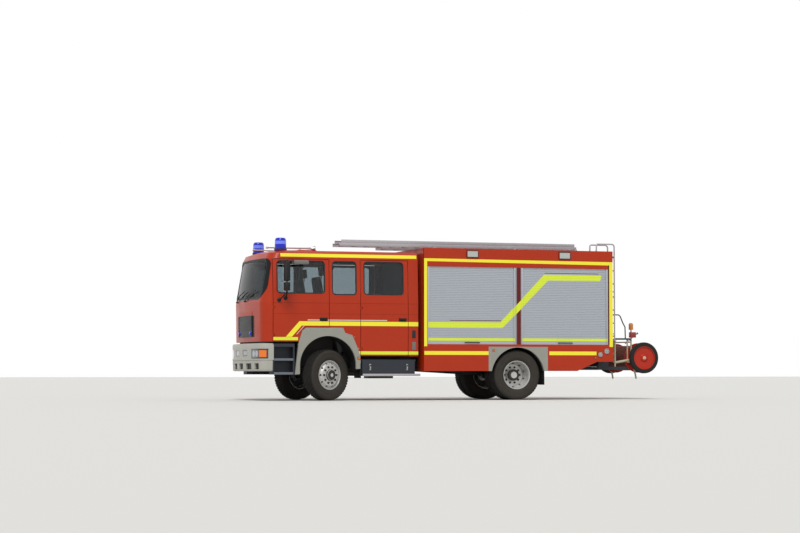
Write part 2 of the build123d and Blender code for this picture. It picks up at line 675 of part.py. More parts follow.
# Rim section: distance out, radius
RIM_EDGE = [
    (-HALF_RIM - 12, FLANGE_R), (-HALF_RIM, FLANGE_R), (-HALF_RIM, BEAD_SEAT_R),
    (HALF_RIM, BEAD_SEAT_R), (HALF_RIM, FLANGE_R), (HALF_RIM + 12, FLANGE_R),
    (HALF_RIM + 12, BEAD_SEAT_R), (HALF_RIM - 12, RIM_IN_R),
]
FRONT_WHEEL = RIM_EDGE + [
    (80, RIM_IN_R), (84, 262), (128, 215), (132, HUB_R), (178, 104), (188, 60), (188, 0),
    (166, 0), (166, SPINDLE_R + RUN_GAP), (0, SPINDLE_R + RUN_GAP), (0, HUB_R), (112, HUB_R),
    (110, 206), (66, 255), (62, RIM_IN_R), (12 - HALF_RIM, RIM_IN_R),
    (-HALF_RIM - 12, BEAD_SEAT_R),
]
# Outer half of a twin wheel, hub to mid-plane, as distance out from the mid-plane, radius
TWIN_DISC = 16.5
TWIN_HALF_WHEEL = [
    (TWIN_DISC, HUB_R), (TWIN_DISC + 8, 222), (TWIN_HALF - 52, RIM_IN_R),
    *((a + TWIN_HALF, r) for a, r in reversed(RIM_EDGE)),
    (TWIN_HALF - HALF_RIM - 12, BEAD_SEAT_R), (TWIN_HALF + 12 - HALF_RIM, RIM_IN_R),
    (TWIN_HALF - 76, RIM_IN_R), (0, 226),
]
TWIN_WHEEL = TWIN_HALF_WHEEL + [(-a, r) for a, r in reversed(TWIN_HALF_WHEEL[:-1])] + [
    (-70, HUB_R), (-70, SPINDLE_R + RUN_GAP), (104, SPINDLE_R + RUN_GAP), (104, 0), (124, 0),
    (124, 96), (112, HUB_R),
]


def tyre(centre, axis):
    """A tyre turned about an axis, with round sides and a slightly crowned tread."""
    section = Plane(origin=centre, x_dir=axis, z_dir=Vector(*axis).cross(Vector(0, 0, 1)))
    with BuildSketch(section) as profile:
        with BuildLine():
            Polyline((1 - HALF_RIM, FLANGE_R + 3), (1 - HALF_RIM, BEAD_R), (HALF_RIM - 1, BEAD_R),
                     (HALF_RIM - 1, FLANGE_R + 3))
            ThreePointArc((HALF_RIM - 1, FLANGE_R + 3), (TYRE_W / 2, 392), (122, 502))
            Line((122, 502), (108, 514))
            ThreePointArc((108, 514), (0, TYRE_R), (-108, 514))
            Line((-108, 514), (-122, 502))
            ThreePointArc((-122, 502), (-TYRE_W / 2, 392), (1 - HALF_RIM, FLANGE_R + 3))
        make_face()
    revolve(profile.sketch, axis=Axis(centre, axis))


HAND_HOLES = 10
for hand, side in SIDES:
    out = rest_axis(side)
    centre = kingpin(side) + Vector(*out) * WHEEL_OUT
    with BuildPart() as front_wheel:
        turned(centre, out, FRONT_WHEEL)
        with Locations(Plane(origin=centre, z_dir=out).location):
            with PolarLocations(238, HAND_HOLES):
                Cylinder(19, 300, mode=Mode.SUBTRACT)
    save(front_wheel.part, f"front_wheel_{hand}")
    with BuildPart() as front_tyre:
        tyre(centre, out)
    save(front_tyre.part, f"front_tyre_{hand}")

with BuildPart() as rear_wheel:
    middle = Vector(at(REAR_AXLE), sum(TWIN_Y) / 2, TYRE_R)
    turned(middle, (0, 1, 0), TWIN_WHEEL)
    with Locations(Plane(origin=middle, z_dir=(0, 1, 0)).location):
        with PolarLocations(249, HAND_HOLES):
            Cylinder(17, 260, mode=Mode.SUBTRACT)
save_pair(rear_wheel.part, "rear_wheel")
with BuildPart() as rear_tyre:
    for y in TWIN_Y:
        tyre(Vector(at(REAR_AXLE), y, TYRE_R), (0, 1, 0))
save_pair(rear_tyre.part, "rear_tyre")

# Under-cab lockers: a hollow box each side with a step plate, and the lids as separate pieces
LOCKER_X = (-730.0, -1882.0)
LOCKER_Z = (547.0, 842.0)
LOCKER_WALL = 20.0
LID_FACE = CAB_HALF - 4
LID_T = 16.0
LID_PIN = (LID_FACE - 8, LOCKER_Z[1] - 12)  # width and height of the hinge line
LID_PIN_R = 6.0
LID_CLEAR = 6.0
with BuildPart() as cab_lockers:
    for _, side in SIDES:
        outer = side * (CAB_HALF - 26)
        inner = side * (CAB_HALF - 480)
        ys = sorted((outer, inner))
        block(LOCKER_X, ys, LOCKER_Z)
        block((LOCKER_X[0] - LOCKER_WALL, LOCKER_X[1] + LOCKER_WALL),
              sorted((side * FAR, side * (CAB_HALF - 480 + LOCKER_WALL))),
              (LOCKER_Z[0] + LOCKER_WALL, LOCKER_Z[1] - LOCKER_WALL), mode=Mode.SUBTRACT)
        block((LOCKER_X[0] - 10, LOCKER_X[1] - 110), sorted((side * (CAB_HALF + 10), inner)),
              (LOCKER_Z[0] - 40, LOCKER_Z[0]))
        for x in (-900, -1700):
            block((x - 40, x + 40), sorted((side * RAIL_Y[1], inner)), (720, 800))
        for x in (LOCKER_X[0], LOCKER_X[1] - 12):
            block((x, x + 12), sorted((side * (CAB_HALF - 40), side * LID_FACE)),
                  (LID_PIN[1] - 16, LOCKER_Z[1]))
        rod((LOCKER_X[0] + 20, side * LID_PIN[0], LID_PIN[1]),
            (LOCKER_X[1] - 20, side * LID_PIN[0], LID_PIN[1]), LID_PIN_R + RUN_GAP,
            mode=Mode.SUBTRACT)
save(cab_lockers.part, "cab_lockers")
with BuildPart() as locker_lid:
    block((LOCKER_X[0] - LID_CLEAR, LOCKER_X[1] + LID_CLEAR), (LID_FACE - LID_T, LID_FACE),
          (LOCKER_Z[0] + LID_CLEAR, LOCKER_Z[1] - LID_CLEAR))
    rod((LOCKER_X[0] + 10, *LID_PIN), (LOCKER_X[1] - 10, *LID_PIN), LID_PIN_R)
    for x in (-905, -1707):
        block((x - 15, x + 15), (LID_FACE, LID_FACE + 18), (640, 730))
save_pair(locker_lid.part, "locker_lid")

# Tanks and exhaust along the rails behind the cab
with BuildPart() as side_tanks:
    for _, side in SIDES:
        ys = sorted((side * (RAIL_Y[1] + 0), side * (BODY_HALF - SKIRT_DEPTH - 10)))
        block((-2250, -3150), ys, (620, 1060))
save(side_tanks.part, "side_tanks")
with BuildPart() as exhaust:
    rod((-560, -330, 560), (-2100, -330, 560), 45)
    block((-1350, -1900), (-640, -320), (450, 660))
    block((-1640, -1610), (-400, -350), (660, RAIL_Z[0]))
save(exhaust.part, "exhaust")

# Cab furniture: two front seats, the crew's bench, dashboard and steering wheel
SEAT_BACK = radians(12)
with BuildPart() as seats:
    for y in (-640.0, 640.0):
        block((60, 560), (y - 240, y + 240), (1860, 2000))
        block((140, 440), (y - 160, y + 160), (ARCH_TOP + CAB_WALL, 1860))
        side_prism([(60, 1900), (180, 1900), (60, 2560), (-60, 2560)], (y - 230, y + 230))
        side_prism([(20, 2550), (40, 2550), (0, 2760), (-60, 2760), (-50, 2550)],
                   (y - 130, y + 130))
    block((-1350, -1860), (-1040, 1040), (1380, 1500))
    block((-1450, -1850), (-1000, 1000), (CREW_FLOOR[1], 1380))
    block((-1760, -1880), (-1040, 1040), (1500, 2150))
save(seats.part, "seats")
COLUMN_R = 28.0
with BuildPart() as dashboard:
    side_prism([(1080, 1700), (1290, 1700), (1270, 2050), (1200, 2070), (1010, 1960)],
               (-900, 900))
    block((1120, 1290), (-300, 300), (FRONT_BOTTOM + CAB_WALL, 1700))
    rod((1108, 640, 1845), (800, 640, 2010), COLUMN_R + SEAT_GAP, mode=Mode.SUBTRACT)
save(dashboard.part, "dashboard")
with BuildPart() as steering_wheel:
    rod((1080, 640, 1860), (782, 640, 2019.6), COLUMN_R)
    with Locations(Plane(origin=(at(790), 640, 2015), z_dir=(-0.88, 0, 0.47)).location):
        Torus(225, 16)
        Box(450, 40, 18)
        Box(40, 450, 18)
save(steering_wheel.part, "steering_wheel")

# Roof fittings: two beacons, the air horns and a low hatch
BEACON_Y = 850.0
with BuildPart() as beacons:
    for _, side in SIDES:
        rod((930, side * BEACON_Y, 3062), (930, side * BEACON_Y, 3110), 130)
        rod((930, side * BEACON_Y, 3110), (930, side * BEACON_Y, 3330), 118)
save(beacons.part, "beacons")
with BuildPart() as air_horns:
    for _, side in SIDES:
        rod((750, side * 520, 3062), (750, side * 520, 3140), 20)
        rod((1150, side * 520, 3140), (120, side * 520, 3140), 22)
        rod((120, side * 520, 3140), (100, side * 520, 3140), 60)
save(air_horns.part, "air_horns")
WIPER_R = 9.0


def on_windscreen(y, z, out):
    """Point ahead of the windscreen's bowed and raked face."""
    low, high = CAB_SECTIONS[1:3]
    face = low[1] + (high[1] - low[1]) * (z - low[0]) / (high[0] - low[0])
    return (face - BOW * (y / CAB_HALF) ** 2 + out, y, z)


with BuildPart() as wipers:
    for y in (-700, 60):
        rod(on_windscreen(y, 2040, -45), on_windscreen(y, 2040, 40), 14)
        rod(on_windscreen(y, 2040, 32), on_windscreen(y + 340, 2190, 32), WIPER_R)
        rod(on_windscreen(y + 40, 2130, 28), on_windscreen(y + 640, 2250, 28), WIPER_R)
    add(CAB_OUTER, mode=Mode.SUBTRACT)
save(wipers.part, "wipers")

# Roof ladders: two stacks of sections on a rack
RACK_Z = 3156.0
LADDER_PITCH = 280.0


def ladder(stations, middle, width, bottom, height):
    """One ladder section lying flat, two rails with rungs between."""
    for edge in (-1, 1):
        rail = middle + edge * (width / 2 - 14)
        block(stations, (rail - 14, rail + 14), (bottom, bottom + height))
    length = abs(stations[1] - stations[0])
    for count in range(int(length / LADDER_PITCH)):
        x = max(stations) - LADDER_PITCH * (count + 0.5)
        block((x - 16, x + 16), (middle - width / 2 + 14, middle + width / 2 - 14),
              (bottom + height / 2 - 14, bottom + height / 2 + 14))


with BuildPart() as left_ladder:
    ladder((-330, -5650), 620, 480, RACK_Z + 30, 72)
    ladder((-330, -5650), 620, 480, RACK_Z + 102, 60)
save(left_ladder.part, "left_ladder")
with BuildPart() as right_ladder:
    ladder((-1570, -5950), -280, 480, RACK_Z + 30, 72)
    ladder((-1570, -5950), -280, 480, RACK_Z + 102, 60)
save(right_ladder.part, "right_ladder")
with BuildPart() as ladder_rack:
    for x in (-2300, -4100, -5500):
        block((x - 25, x + 25), (-1180, 1180), (RACK_Z, RACK_Z + 30))
        for y in (-1180, 1140):
            block((x - 25, x + 25), (y, y + 40), (DECK_Z[1], RACK_Z))
save(ladder_rack.part, "ladder_rack")

# Ladder up the rear wall, left side
with BuildPart() as access_ladder:
    for y in (820, 1160):
        rod((-6400, y, 1250), (-6400, y, 3330), 16)
        for z in (1300, 2200, 3100):
            rod((BODY_REAR - SEAT_GAP, y, z), (-6400, y, z), 14)
    for z in range(1400, 3200, 300):
        rod((-6400, 820, z), (-6400, 1160, z), 13)
save(access_ladder.part, "access_ladder")

# Rear beam with the lamps at its ends
BEAM_X = (-6180.0, -6420.0)
BEAM_Z = (802.0 - 120.0, 802.0)
TOW_BORE_R = 20.5
TOW_X = -6462.0
TOW_Z = (780.0, 860.0)
# Arms under the beam that carry the hose reel
REEL_ARM_REAR = -6855.0
REEL_ARM_Y = (700.0, 780.0)
REEL_ARM_T = 70.0
with BuildPart() as rear_beam:
    block((BEAM_X[0], BEAM_X[1]), (-800, 800), (RAIL_Z[0], RAIL_Z[1]))
    for _, side in SIDES:
        block((BEAM_X[0], REEL_ARM_REAR), sorted((side * REEL_ARM_Y[0], side * REEL_ARM_Y[1])),
              (RAIL_Z[0] - REEL_ARM_T, RAIL_Z[0]))
    block((BEAM_X[1], TOW_X), (-60, 60), TOW_Z)
    rod((TOW_X, 0, TOW_Z[0]), (TOW_X, 0, TOW_Z[1]), 60)
    rod((TOW_X, 0, TOW_Z[0] - 1), (TOW_X, 0, TOW_Z[1] + 1), TOW_BORE_R, mode=Mode.SUBTRACT)
save(rear_beam.part, "rear_beam")
with BuildPart() as rear_lamps:
    for _, side in SIDES:
        for y in (960, 1120):
            rod((BODY_REAR, side * y, 930), (BODY_REAR - 60, side * y, 930), 60)
save(rear_lamps.part, "rear_lamps")

# Hose reel cart: frame, drum with its hose and two wheels on one axle
REEL_WHEEL_Y = 860.0
REEL_SHAFT_R = 22.0
REEL_FRAME_X = -6600.0
with BuildPart() as reel_frame:
    rod((REEL_AXLE, -REEL_WHEEL_Y - 60, REEL_AXLE_Z), (REEL_AXLE, REEL_WHEEL_Y + 60, REEL_AXLE_Z),
        REEL_SHAFT_R)
    for _, side in SIDES:
        foot_y = side * sum(REEL_ARM_Y) / 2
        rod((REEL_AXLE, foot_y, REEL_AXLE_Z), (REEL_FRAME_X, foot_y, 790), 26)
        rod((REEL_FRAME_X, foot_y, RAIL_Z[0]), (REEL_FRAME_X, foot_y, 1250), 18)
    rod((REEL_FRAME_X, -REEL_ARM_Y[1], 1250), (REEL_FRAME_X, REEL_ARM_Y[1], 1250), 18)
save(reel_frame.part, "reel_frame")
with BuildPart() as reel_drum:
    for _, side in SIDES:
        rod((REEL_AXLE, side * 560, REEL_AXLE_Z), (REEL_AXLE, side * 572, REEL_AXLE_Z), 320)
    rod((REEL_AXLE, -560, REEL_AXLE_Z), (REEL_AXLE, 560, REEL_AXLE_Z), 270)
    rod((REEL_AXLE, -600, REEL_AXLE_Z), (REEL_AXLE, 600, REEL_AXLE_Z), 50)
    rod((REEL_AXLE, -700, REEL_AXLE_Z), (REEL_AXLE, 700, REEL_AXLE_Z), REEL_SHAFT_R + RUN_GAP,
        mode=Mode.SUBTRACT)
save(reel_drum.part, "reel_drum")
with BuildPart() as reel_wheel:
    turned(Vector(at(REEL_AXLE), REEL_WHEEL_Y, REEL_AXLE_Z), (0, 1, 0), [
        (-40, 240), (-40, 320), (-25, REEL_WHEEL_D / 2), (25, REEL_WHEEL_D / 2), (40, 320),
        (40, 240), (12, 230), (8, 90), (40, 60), (40, REEL_SHAFT_R + RUN_GAP),
        (-40, REEL_SHAFT_R + RUN_GAP), (-40, 60), (-4, 90), (-4, 230),
    ])
save_pair(reel_wheel.part, "reel_wheel")
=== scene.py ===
"""Looks of a four-wheel-drive fire engine with a crew cab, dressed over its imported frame.

Every piece is in metres in the frame's own axes: X forward, Y to the left, Z up, with the origin on
the ground at the middle of the overall length. Places along the vehicle are stations, counted
forward from a cross plane through the front wheel arches, as the part's drawings give them.
Stations, widths from the middle plane and heights are in millimetres, as are the fields of a class
where nothing else is said. Turned profiles and the radii of bars are in metres.
"""

import json
import logging
import math
from collections.abc import Callable
from dataclasses import dataclass
from enum import Enum
from functools import cache

import bmesh
import bpy
from bpy.types import Material, Mesh, Node, NodeSocket, NodeTree, Object
from mathutils import Matrix, Vector


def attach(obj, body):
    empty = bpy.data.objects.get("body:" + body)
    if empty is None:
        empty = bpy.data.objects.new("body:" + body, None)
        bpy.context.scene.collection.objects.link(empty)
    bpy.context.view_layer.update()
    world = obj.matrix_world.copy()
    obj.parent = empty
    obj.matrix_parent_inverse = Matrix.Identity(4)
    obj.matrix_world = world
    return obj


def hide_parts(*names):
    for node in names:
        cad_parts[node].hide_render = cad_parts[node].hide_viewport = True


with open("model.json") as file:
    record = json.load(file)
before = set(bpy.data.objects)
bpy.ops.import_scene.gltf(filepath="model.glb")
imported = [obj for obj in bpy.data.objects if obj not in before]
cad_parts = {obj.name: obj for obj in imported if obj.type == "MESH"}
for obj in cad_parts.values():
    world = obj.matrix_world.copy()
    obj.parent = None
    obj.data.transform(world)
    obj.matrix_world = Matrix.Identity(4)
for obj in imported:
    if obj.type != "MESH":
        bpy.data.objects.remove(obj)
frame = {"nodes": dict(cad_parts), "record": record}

logging.basicConfig(level=logging.INFO, format="%(message)s")
log = logging.getLogger("fire_engine")

Pair = tuple[float, float]
Triple = tuple[float, float, float]
Four = tuple[float, float, float, float]
Pairs = tuple[Pair, ...]

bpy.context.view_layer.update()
STATION_ZERO = 3.0125
MM = 0.001
SIDES = ((1, "left"), (-1, "right"))
FULL_TURN = 2 * math.pi
AHEAD = Vector((1, 0, 0))
ASIDE = Vector((0, 1, 0))
UP = Vector((0, 0, 1))
# Nodes that join two masks
BOTH = ("ShaderNodeMath", {"operation": "MULTIPLY"})
EITHER = ("ShaderNodeMath", {"operation": "MAXIMUM"})
# A face looks sideways when this much of its normal does
SIDEWAYS = 0.3
# Edges that turn by more than this stay sharp
SHARP = math.radians(35)


def at(station: float) -> float:
    """X in metres of a station in millimetres."""
    return STATION_ZERO + station * MM


def spot(x: float, y: float, z: float) -> Vector:
    """A point in metres from station, width and height in millimetres."""
    return Vector((at(x), y * MM, z * MM))


def circle(radius: float, sides: int, z: float) -> list[Vector]:
    """Points on a level circle about the origin, in metres."""
    return [
        Vector((radius * math.cos(a), radius * math.sin(a), z))
        for a in (FULL_TURN * k / sides for k in range(sides))
    ]


def linked(name: str, data: bpy.types.ID | None) -> Object:
    """Make an object of some data and link it to the scene."""
    made = bpy.data.objects.new(name, data)
    bpy.context.collection.objects.link(made)
    return made


def linear(colour: str) -> Four:
    """Turn an sRGB colour of six hex digits to linear red, green, blue and alpha."""
    values = [int(colour[i:i + 2], 16) / 255 for i in (0, 2, 4)]
    turned = [v / 12.92 if v <= 0.04045 else ((v + 0.055) / 1.055) ** 2.4 for v in values]
    return (*turned, 1.0)


def add_node(
    tree: NodeTree, kind: str, settings: dict | None = None, links: dict | None = None
) -> Node:
    """Add a node with its settings and its links.

    Args:
        tree: The node tree that it joins.
        kind: The node's type name.
        settings: Values by the name of a property or, where there is none, of an input socket.
        links: Output sockets by the name or the number of the input that they feed.

    Returns:
        The new node.
    """
    node = tree.nodes.new(kind)
    for name, value in (settings or {}).items():
        if isinstance(name, str) and hasattr(node, name):
            setattr(node, name, value)
        else:
            node.inputs[name].default_value = value
    for name, source in (links or {}).items():
        tree.links.new(source, node.inputs[name])
    return node


def folded(tree: NodeTree, sockets: list[NodeSocket], kind: str, settings: dict) -> NodeSocket:
    """Fold sockets into one by a chain of like nodes, each with two inputs.

    Args:
        tree: The node tree.
        sockets: The sockets, in order.
        kind: The type name of the nodes.
        settings: Their settings.

    Returns:
        The last node's result.
    """
    result, *rest = sockets
    for socket in rest:
        result = add_node(tree, kind, settings, {0: result, 1: socket}).outputs[0]
    return result


class Surface(Enum):
    """How a finish's surface was made, which picks its fine pattern."""

    SPRAYED = "sprayed"
    MOULDED = "moulded"
    EXTRUDED = "extruded"
    CAST = "cast"
    WOVEN = "woven"
    POLISHED = "polished"


class Facing(Enum):
    """Which faces a zone covers, by the way they look across the vehicle."""

    ANY = 0
    OUTWARD = 1
    INWARD = -1


@dataclass(frozen=True)
class Tone:
    """A colour with its gloss, as a zone shows it."""

    colour: str
    roughness: float = 0.4
    metallic: float = 0.0


@dataclass(frozen=True)
class Zone:
    """A region of a finish with a tone of its own: side-on outlines, a width range, a facing.

    Outlines are convex, as (station, height) corners in millimetres, and widths are distances from
    the middle plane in millimetres.
    """

    tone: Tone
    outlines: tuple[Pairs, ...]
    widths: Pair = (0.0, 2000)
    facing: Facing = Facing.ANY

    def mask(self, tree: NodeTree, coords: Node) -> NodeSocket:
        """Build the mask of this region.

        Args:
            tree: The material's tree.
            coords: The texture coordinate node.

        Returns:
            A socket that is one inside the region and zero outside it.
        """
        place = coords.outputs["Object"]
        masks = []
        for outline in self.outlines:
            tests = []
            corners = [Vector((at(x), z * MM)) for x, z in outline]
            centre = sum(corners, Vector((0, 0))) / len(corners)
            for first, second in zip(corners, corners[1:] + corners[:1]):
                run = second - first
                normal = Vector((-run.y, run.x)).normalized()
                if normal.dot(centre - first) < 0:
                    normal = -normal
                side = add_node(
                    tree, "ShaderNodeVectorMath",
                    {"operation": "DOT_PRODUCT", 1: (normal.x, 0.0, normal.y)}, {0: place},
                )
                tests.append(add_node(
                    tree, "ShaderNodeMath", {"operation": "GREATER_THAN", 1: normal.dot(first)},
                    {0: side.outputs["Value"]},
                ).outputs[0])
            masks.append(folded(tree, tests, *BOTH))
        y = add_node(tree, "ShaderNodeSeparateXYZ", {}, {0: place}).outputs["Y"]
        away = add_node(tree, "ShaderNodeMath", {"operation": "ABSOLUTE"}, {0: y}).outputs[0]
        low, high = (w * MM for w in self.widths)
        across = add_node(
            tree, "ShaderNodeMath",
            {"operation": "COMPARE", 1: (low + high) / 2, 2: (high - low) / 2}, {0: away},
        ).outputs[0]
        parts = [folded(tree, masks, *EITHER), across]
        if self.facing is not Facing.ANY:
            look = add_node(tree, "ShaderNodeSeparateXYZ", {}, {0: coords.outputs["Normal"]})
            hand = add_node(tree, "ShaderNodeMath", {"operation": "SIGN"}, {0: y}).outputs[0]
            away = add_node(
                tree, "ShaderNodeMath", {"operation": "MULTIPLY", 1: float(self.facing.value)},
                {0: folded(tree, [look.outputs["Y"], hand], *BOTH)},
            ).outputs[0]
            parts.append(add_node(
                tree, "ShaderNodeMath", {"operation": "GREATER_THAN", 1: SIDEWAYS}, {0: away}
            ).outputs[0])
        return folded(tree, parts, *BOTH)


@dataclass(frozen=True)
class Ring:
    """A region between two radii in metres about an axis, mirrored to both sides.

    The centre is in millimetres and the axis has a length of one.
    """

    tone: Tone
    centre: Triple
    axis: Triple
    radii: Pair

    def mask(self, tree: NodeTree, coords: Node) -> NodeSocket:
        """Build the mask of this region.

        Args:
            tree: The material's tree.
            coords: The texture coordinate node.

        Returns:
            A socket that is one inside the region and zero outside it.
        """
        split = add_node(tree, "ShaderNodeSeparateXYZ", {}, {0: coords.outputs["Object"]})
        away = add_node(
            tree, "ShaderNodeMath", {"operation": "ABSOLUTE"}, {0: split.outputs["Y"]}
        )
        place = add_node(
            tree, "ShaderNodeCombineXYZ", {},
            {0: split.outputs["X"], 1: away.outputs[0], 2: split.outputs["Z"]},
        )
        arm = add_node(
            tree, "ShaderNodeVectorMath", {"operation": "SUBTRACT", 1: spot(*self.centre)},
            {0: place.outputs[0]},
        )
        turned = add_node(
            tree, "ShaderNodeVectorMath",
            {"operation": "CROSS_PRODUCT", 1: self.axis},
            {0: arm.outputs[0]},
        )
        reach = add_node(
            tree, "ShaderNodeVectorMath", {"operation": "LENGTH"}, {0: turned.outputs[0]}
        )
        low, high = self.radii
        return add_node(
            tree, "ShaderNodeMath",
            {"operation": "COMPARE", 1: (low + high) / 2, 2: (high - low) / 2},
            {0: reach.outputs["Value"]},
        ).outputs[0]


def plate(stations: Pair, heights: Pair) -> tuple:
    """An upright rectangle as an outline of (station, height) corners."""
    (a, b), (low, high) = stations, heights
    return ((a, low), (a, high), (b, high), (b, low))


COAT_ROUGHNESS = 0.06
# Patches of the two shades are this many grains wide
MOTTLE = 12
# Patches of dust are a third of a metre wide and change the roughness by this much
DUST_SIZE = 1 / 3
DUST_SPREAD = 0.12
# Height of the relief as a share of the grain
RELIEF = 0.05


@dataclass(frozen=True)
class Finish:
    """One real material and the way that its surface was made.

    The grain is the real size in millimetres of the pattern that the surface shows.
    """

    name: str
    colour: str
    surface: Surface = Surface.SPRAYED
    shade: str | None = None
    roughness: float = 0.35
    metallic: float = 0.0
    coat: float = 0.0
    grain: float = 40
    bump: float = 0.05
    transmission: float = 0.0
    ior: float = 1.5
    glow: float = 0.0
    specular: float = 0.5
    zones: tuple[Zone | Ring, ...] = ()

    @cache
    def make(self) -> Material:
        """Build the node material of this finish, at the first call."""
        material = bpy.data.materials.new(self.name)
        material.use_nodes = True
        tree = material.node_tree
        shader = tree.nodes["Principled BSDF"]
        values = {
            "Roughness": self.roughness, "Metallic": self.metallic, "Coat Weight": self.coat,
            "Coat Roughness": COAT_ROUGHNESS, "Specular IOR Level": self.specular,
            "Transmission Weight": self.transmission,
        }
        if not self.metallic:
            values["IOR"] = self.ior
        if self.glow:
            values |= {"Emission Color": linear(self.colour), "Emission Strength": self.glow}
        for name, value in values.items():
            shader.inputs[name].default_value = value
        coords = add_node(tree, "ShaderNodeTexCoord")
        colour, worn = self.skin(tree, coords.outputs["Object"])
        metal = None
        for zone in self.zones:
            mask = zone.mask(tree, coords)
            colour = add_node(
                tree, "ShaderNodeMix", {"data_type": "RGBA", 7: linear(zone.tone.colour)},
                {0: mask, 6: colour},
            ).outputs[2]
            worn = add_node(
                tree, "ShaderNodeMix", {"data_type": "FLOAT", 3: zone.tone.roughness},
                {0: mask, 2: worn},
            ).outputs[0]
            if zone.tone.metallic != self.metallic:
                metal = add_node(
                    tree, "ShaderNodeMix",
                    {"data_type": "FLOAT", 2: self.metallic, 3: zone.tone.metallic},
                    {0: mask} if metal is None else {0: mask, 2: metal},
                ).outputs[0]
        if metal is not None:
            tree.links.new(metal, shader.inputs["Metallic"])
        tree.links.new(colour, shader.inputs["Base Color"])
        tree.links.new(worn, shader.inputs["Roughness"])
        self.relief(tree, coords.outputs["Object"], shader)
        return material

    def skin(self, tree: NodeTree, coords: NodeSocket) -> tuple[NodeSocket, NodeSocket]:
        """Vary the colour between its two shades, and the gloss with faint dust and wipe marks.

        Args:
            tree: The material's tree.
            coords: Object coordinates.

        Returns:
            The sockets that give the colour and the roughness.
        """
        mottle = add_node(
            tree, "ShaderNodeTexNoise", {"Scale": 1.0 / (self.grain * MM * MOTTLE), "Detail": 4.0},
            {"Vector": coords},
        )
        colour = add_node(
            tree, "ShaderNodeMix",
            {"data_type": "RGBA", 6: linear(self.colour), 7: linear(self.shade or self.colour)},
            {0: mottle.outputs["Fac"]},
        )
        dust = add_node(
            tree, "ShaderNodeTexNoise", {"Scale": 1 / DUST_SIZE, "Detail": 6.0, "Roughness": 0.6},
            {"Vector": coords},
        )
        spread = 0.0 if self.transmission == 1.0 else DUST_SPREAD
        worn = add_node(
            tree, "ShaderNodeMapRange",
            {3: max(self.roughness - spread, 0.0), 4: min(self.roughness + spread, 1.0)},
            {0: dust.outputs["Fac"]},
        )
        return colour.outputs[2], worn.outputs[0]

    def relief(self, tree: NodeTree, coords: NodeSocket, shader: Node) -> None:
        """Give the surface its fine relief.

        Args:
            tree: The material's tree.
            coords: Object coordinates.
            shader: The shader that takes the relief.
        """
        if not self.bump:
            return
        scale = 1.0 / (self.grain * MM)
        pattern = {"Scale": scale, "Detail": 2.0}
        kind = "ShaderNodeTexNoise"
        if self.surface is Surface.WOVEN:
            kind, pattern = "ShaderNodeTexWave", {"Scale": scale, "Distortion": 1.5}
        elif self.surface is Surface.EXTRUDED:
            coords = add_node(
                tree, "ShaderNodeMapping", {"Scale": (0.02, 1.0, 1.0)}, {"Vector": coords}
            ).outputs["Vector"]
        height = add_node(tree, kind, pattern, {"Vector": coords}).outputs["Fac"]
        bump = add_node(
            tree, "ShaderNodeBump", {"Strength": self.bump, "Distance": self.grain * MM * RELIEF},
            {"Height": height},
        )
        tree.links.new(bump.outputs["Normal"], shader.inputs["Normal"])


# Tones that zones show: retroreflective tapes, plastics, rubber, lining, and painted shade along
# the cab's creases
YELLOW = Tone("EFE43A", 0.45)
LIME = Tone("D6E63A", 0.45)
PALE_LINE = Tone("C9BDB0", 0.4)
DARK_RED = Tone("5E120B", 0.4)
MATT_BLACK = Tone("141416", 0.6)
LINING = Tone("3B3D42", 0.85)
BARE_ALUMINIUM = Tone("B9BCC0", 0.35, 0.9)
AMBER = Tone("E8720A", 0.2)
REFLECTOR = Tone("A9ADB0", 0.15, 0.7)
STEP_EDGE = Tone("666B75", 0.5)
GUIDE_GREY = Tone("8D9299", 0.4, 0.5)
# Darker red painted as the shade in the cab side's swage lines
CREASE_PAINTED_SHADE = Tone("6E1408", 0.5)
HOSE = Tone("6A3A30", 0.8)

# Cab stripes: outlines seen from the side
CAB_YELLOW = (
    plate((1000, -1930), (2930, 3000)),
    plate((600, -1951), (1529, 1617)),
    ((898, 1298), (609, 1617), (480, 1617), (770, 1298)),
)
CAB_LIME = (
    plate((1165, 640), (1229, 1293)),
    plate((-640, -1951), (943, 1009)),
)
CAB_PALE = (
    plate((435, -1270), (1632, 1654)),
    ((676, 1350), (512, 1531), (495, 1531), (659, 1350)),
)
BODY_YELLOW = (
    plate((-2045, -2113), (1117, 2940)),
    ((-2045, 2882), (-2045, 2940), (-6341, 2926), (-6341, 2855)),
    plate((-6240, -6341), (1117, 2926)),
)
SKIRT_YELLOW = (plate((-2050, -3476), (940, 1018)), plate((-4850, -5935), (940, 1018)))
SHUTTER_LIME = (
    ((-2139, 1508), (-2139, 1622), (-3748, 1622), (-3799, 1508)),
    ((-3748, 1622), (-4742, 2636), (-4840, 2519), (-3799, 1508)),
    ((-4742, 2636), (-4840, 2515), (-6040, 2519), (-6071, 2636)),
    plate((-2139, -4076), (1233, 1292)),
    plate((-4239, -6195), (1233, 1292)),
)
SHUTTER_RED = (
    plate((-2627, -3768), (1650, 1664)),
    plate((-4760, -6000), (2662, 2676)),
)
CAB_LINING = (
    plate((1000, -1895), (955, 2880)),
    plate((1000, -1895), (2870, 3003)),
)
FRONT_LINING = (((1000, 1240), (1290, 1240), (1310, 2000), (1160, 2950), (1000, 2950)),)
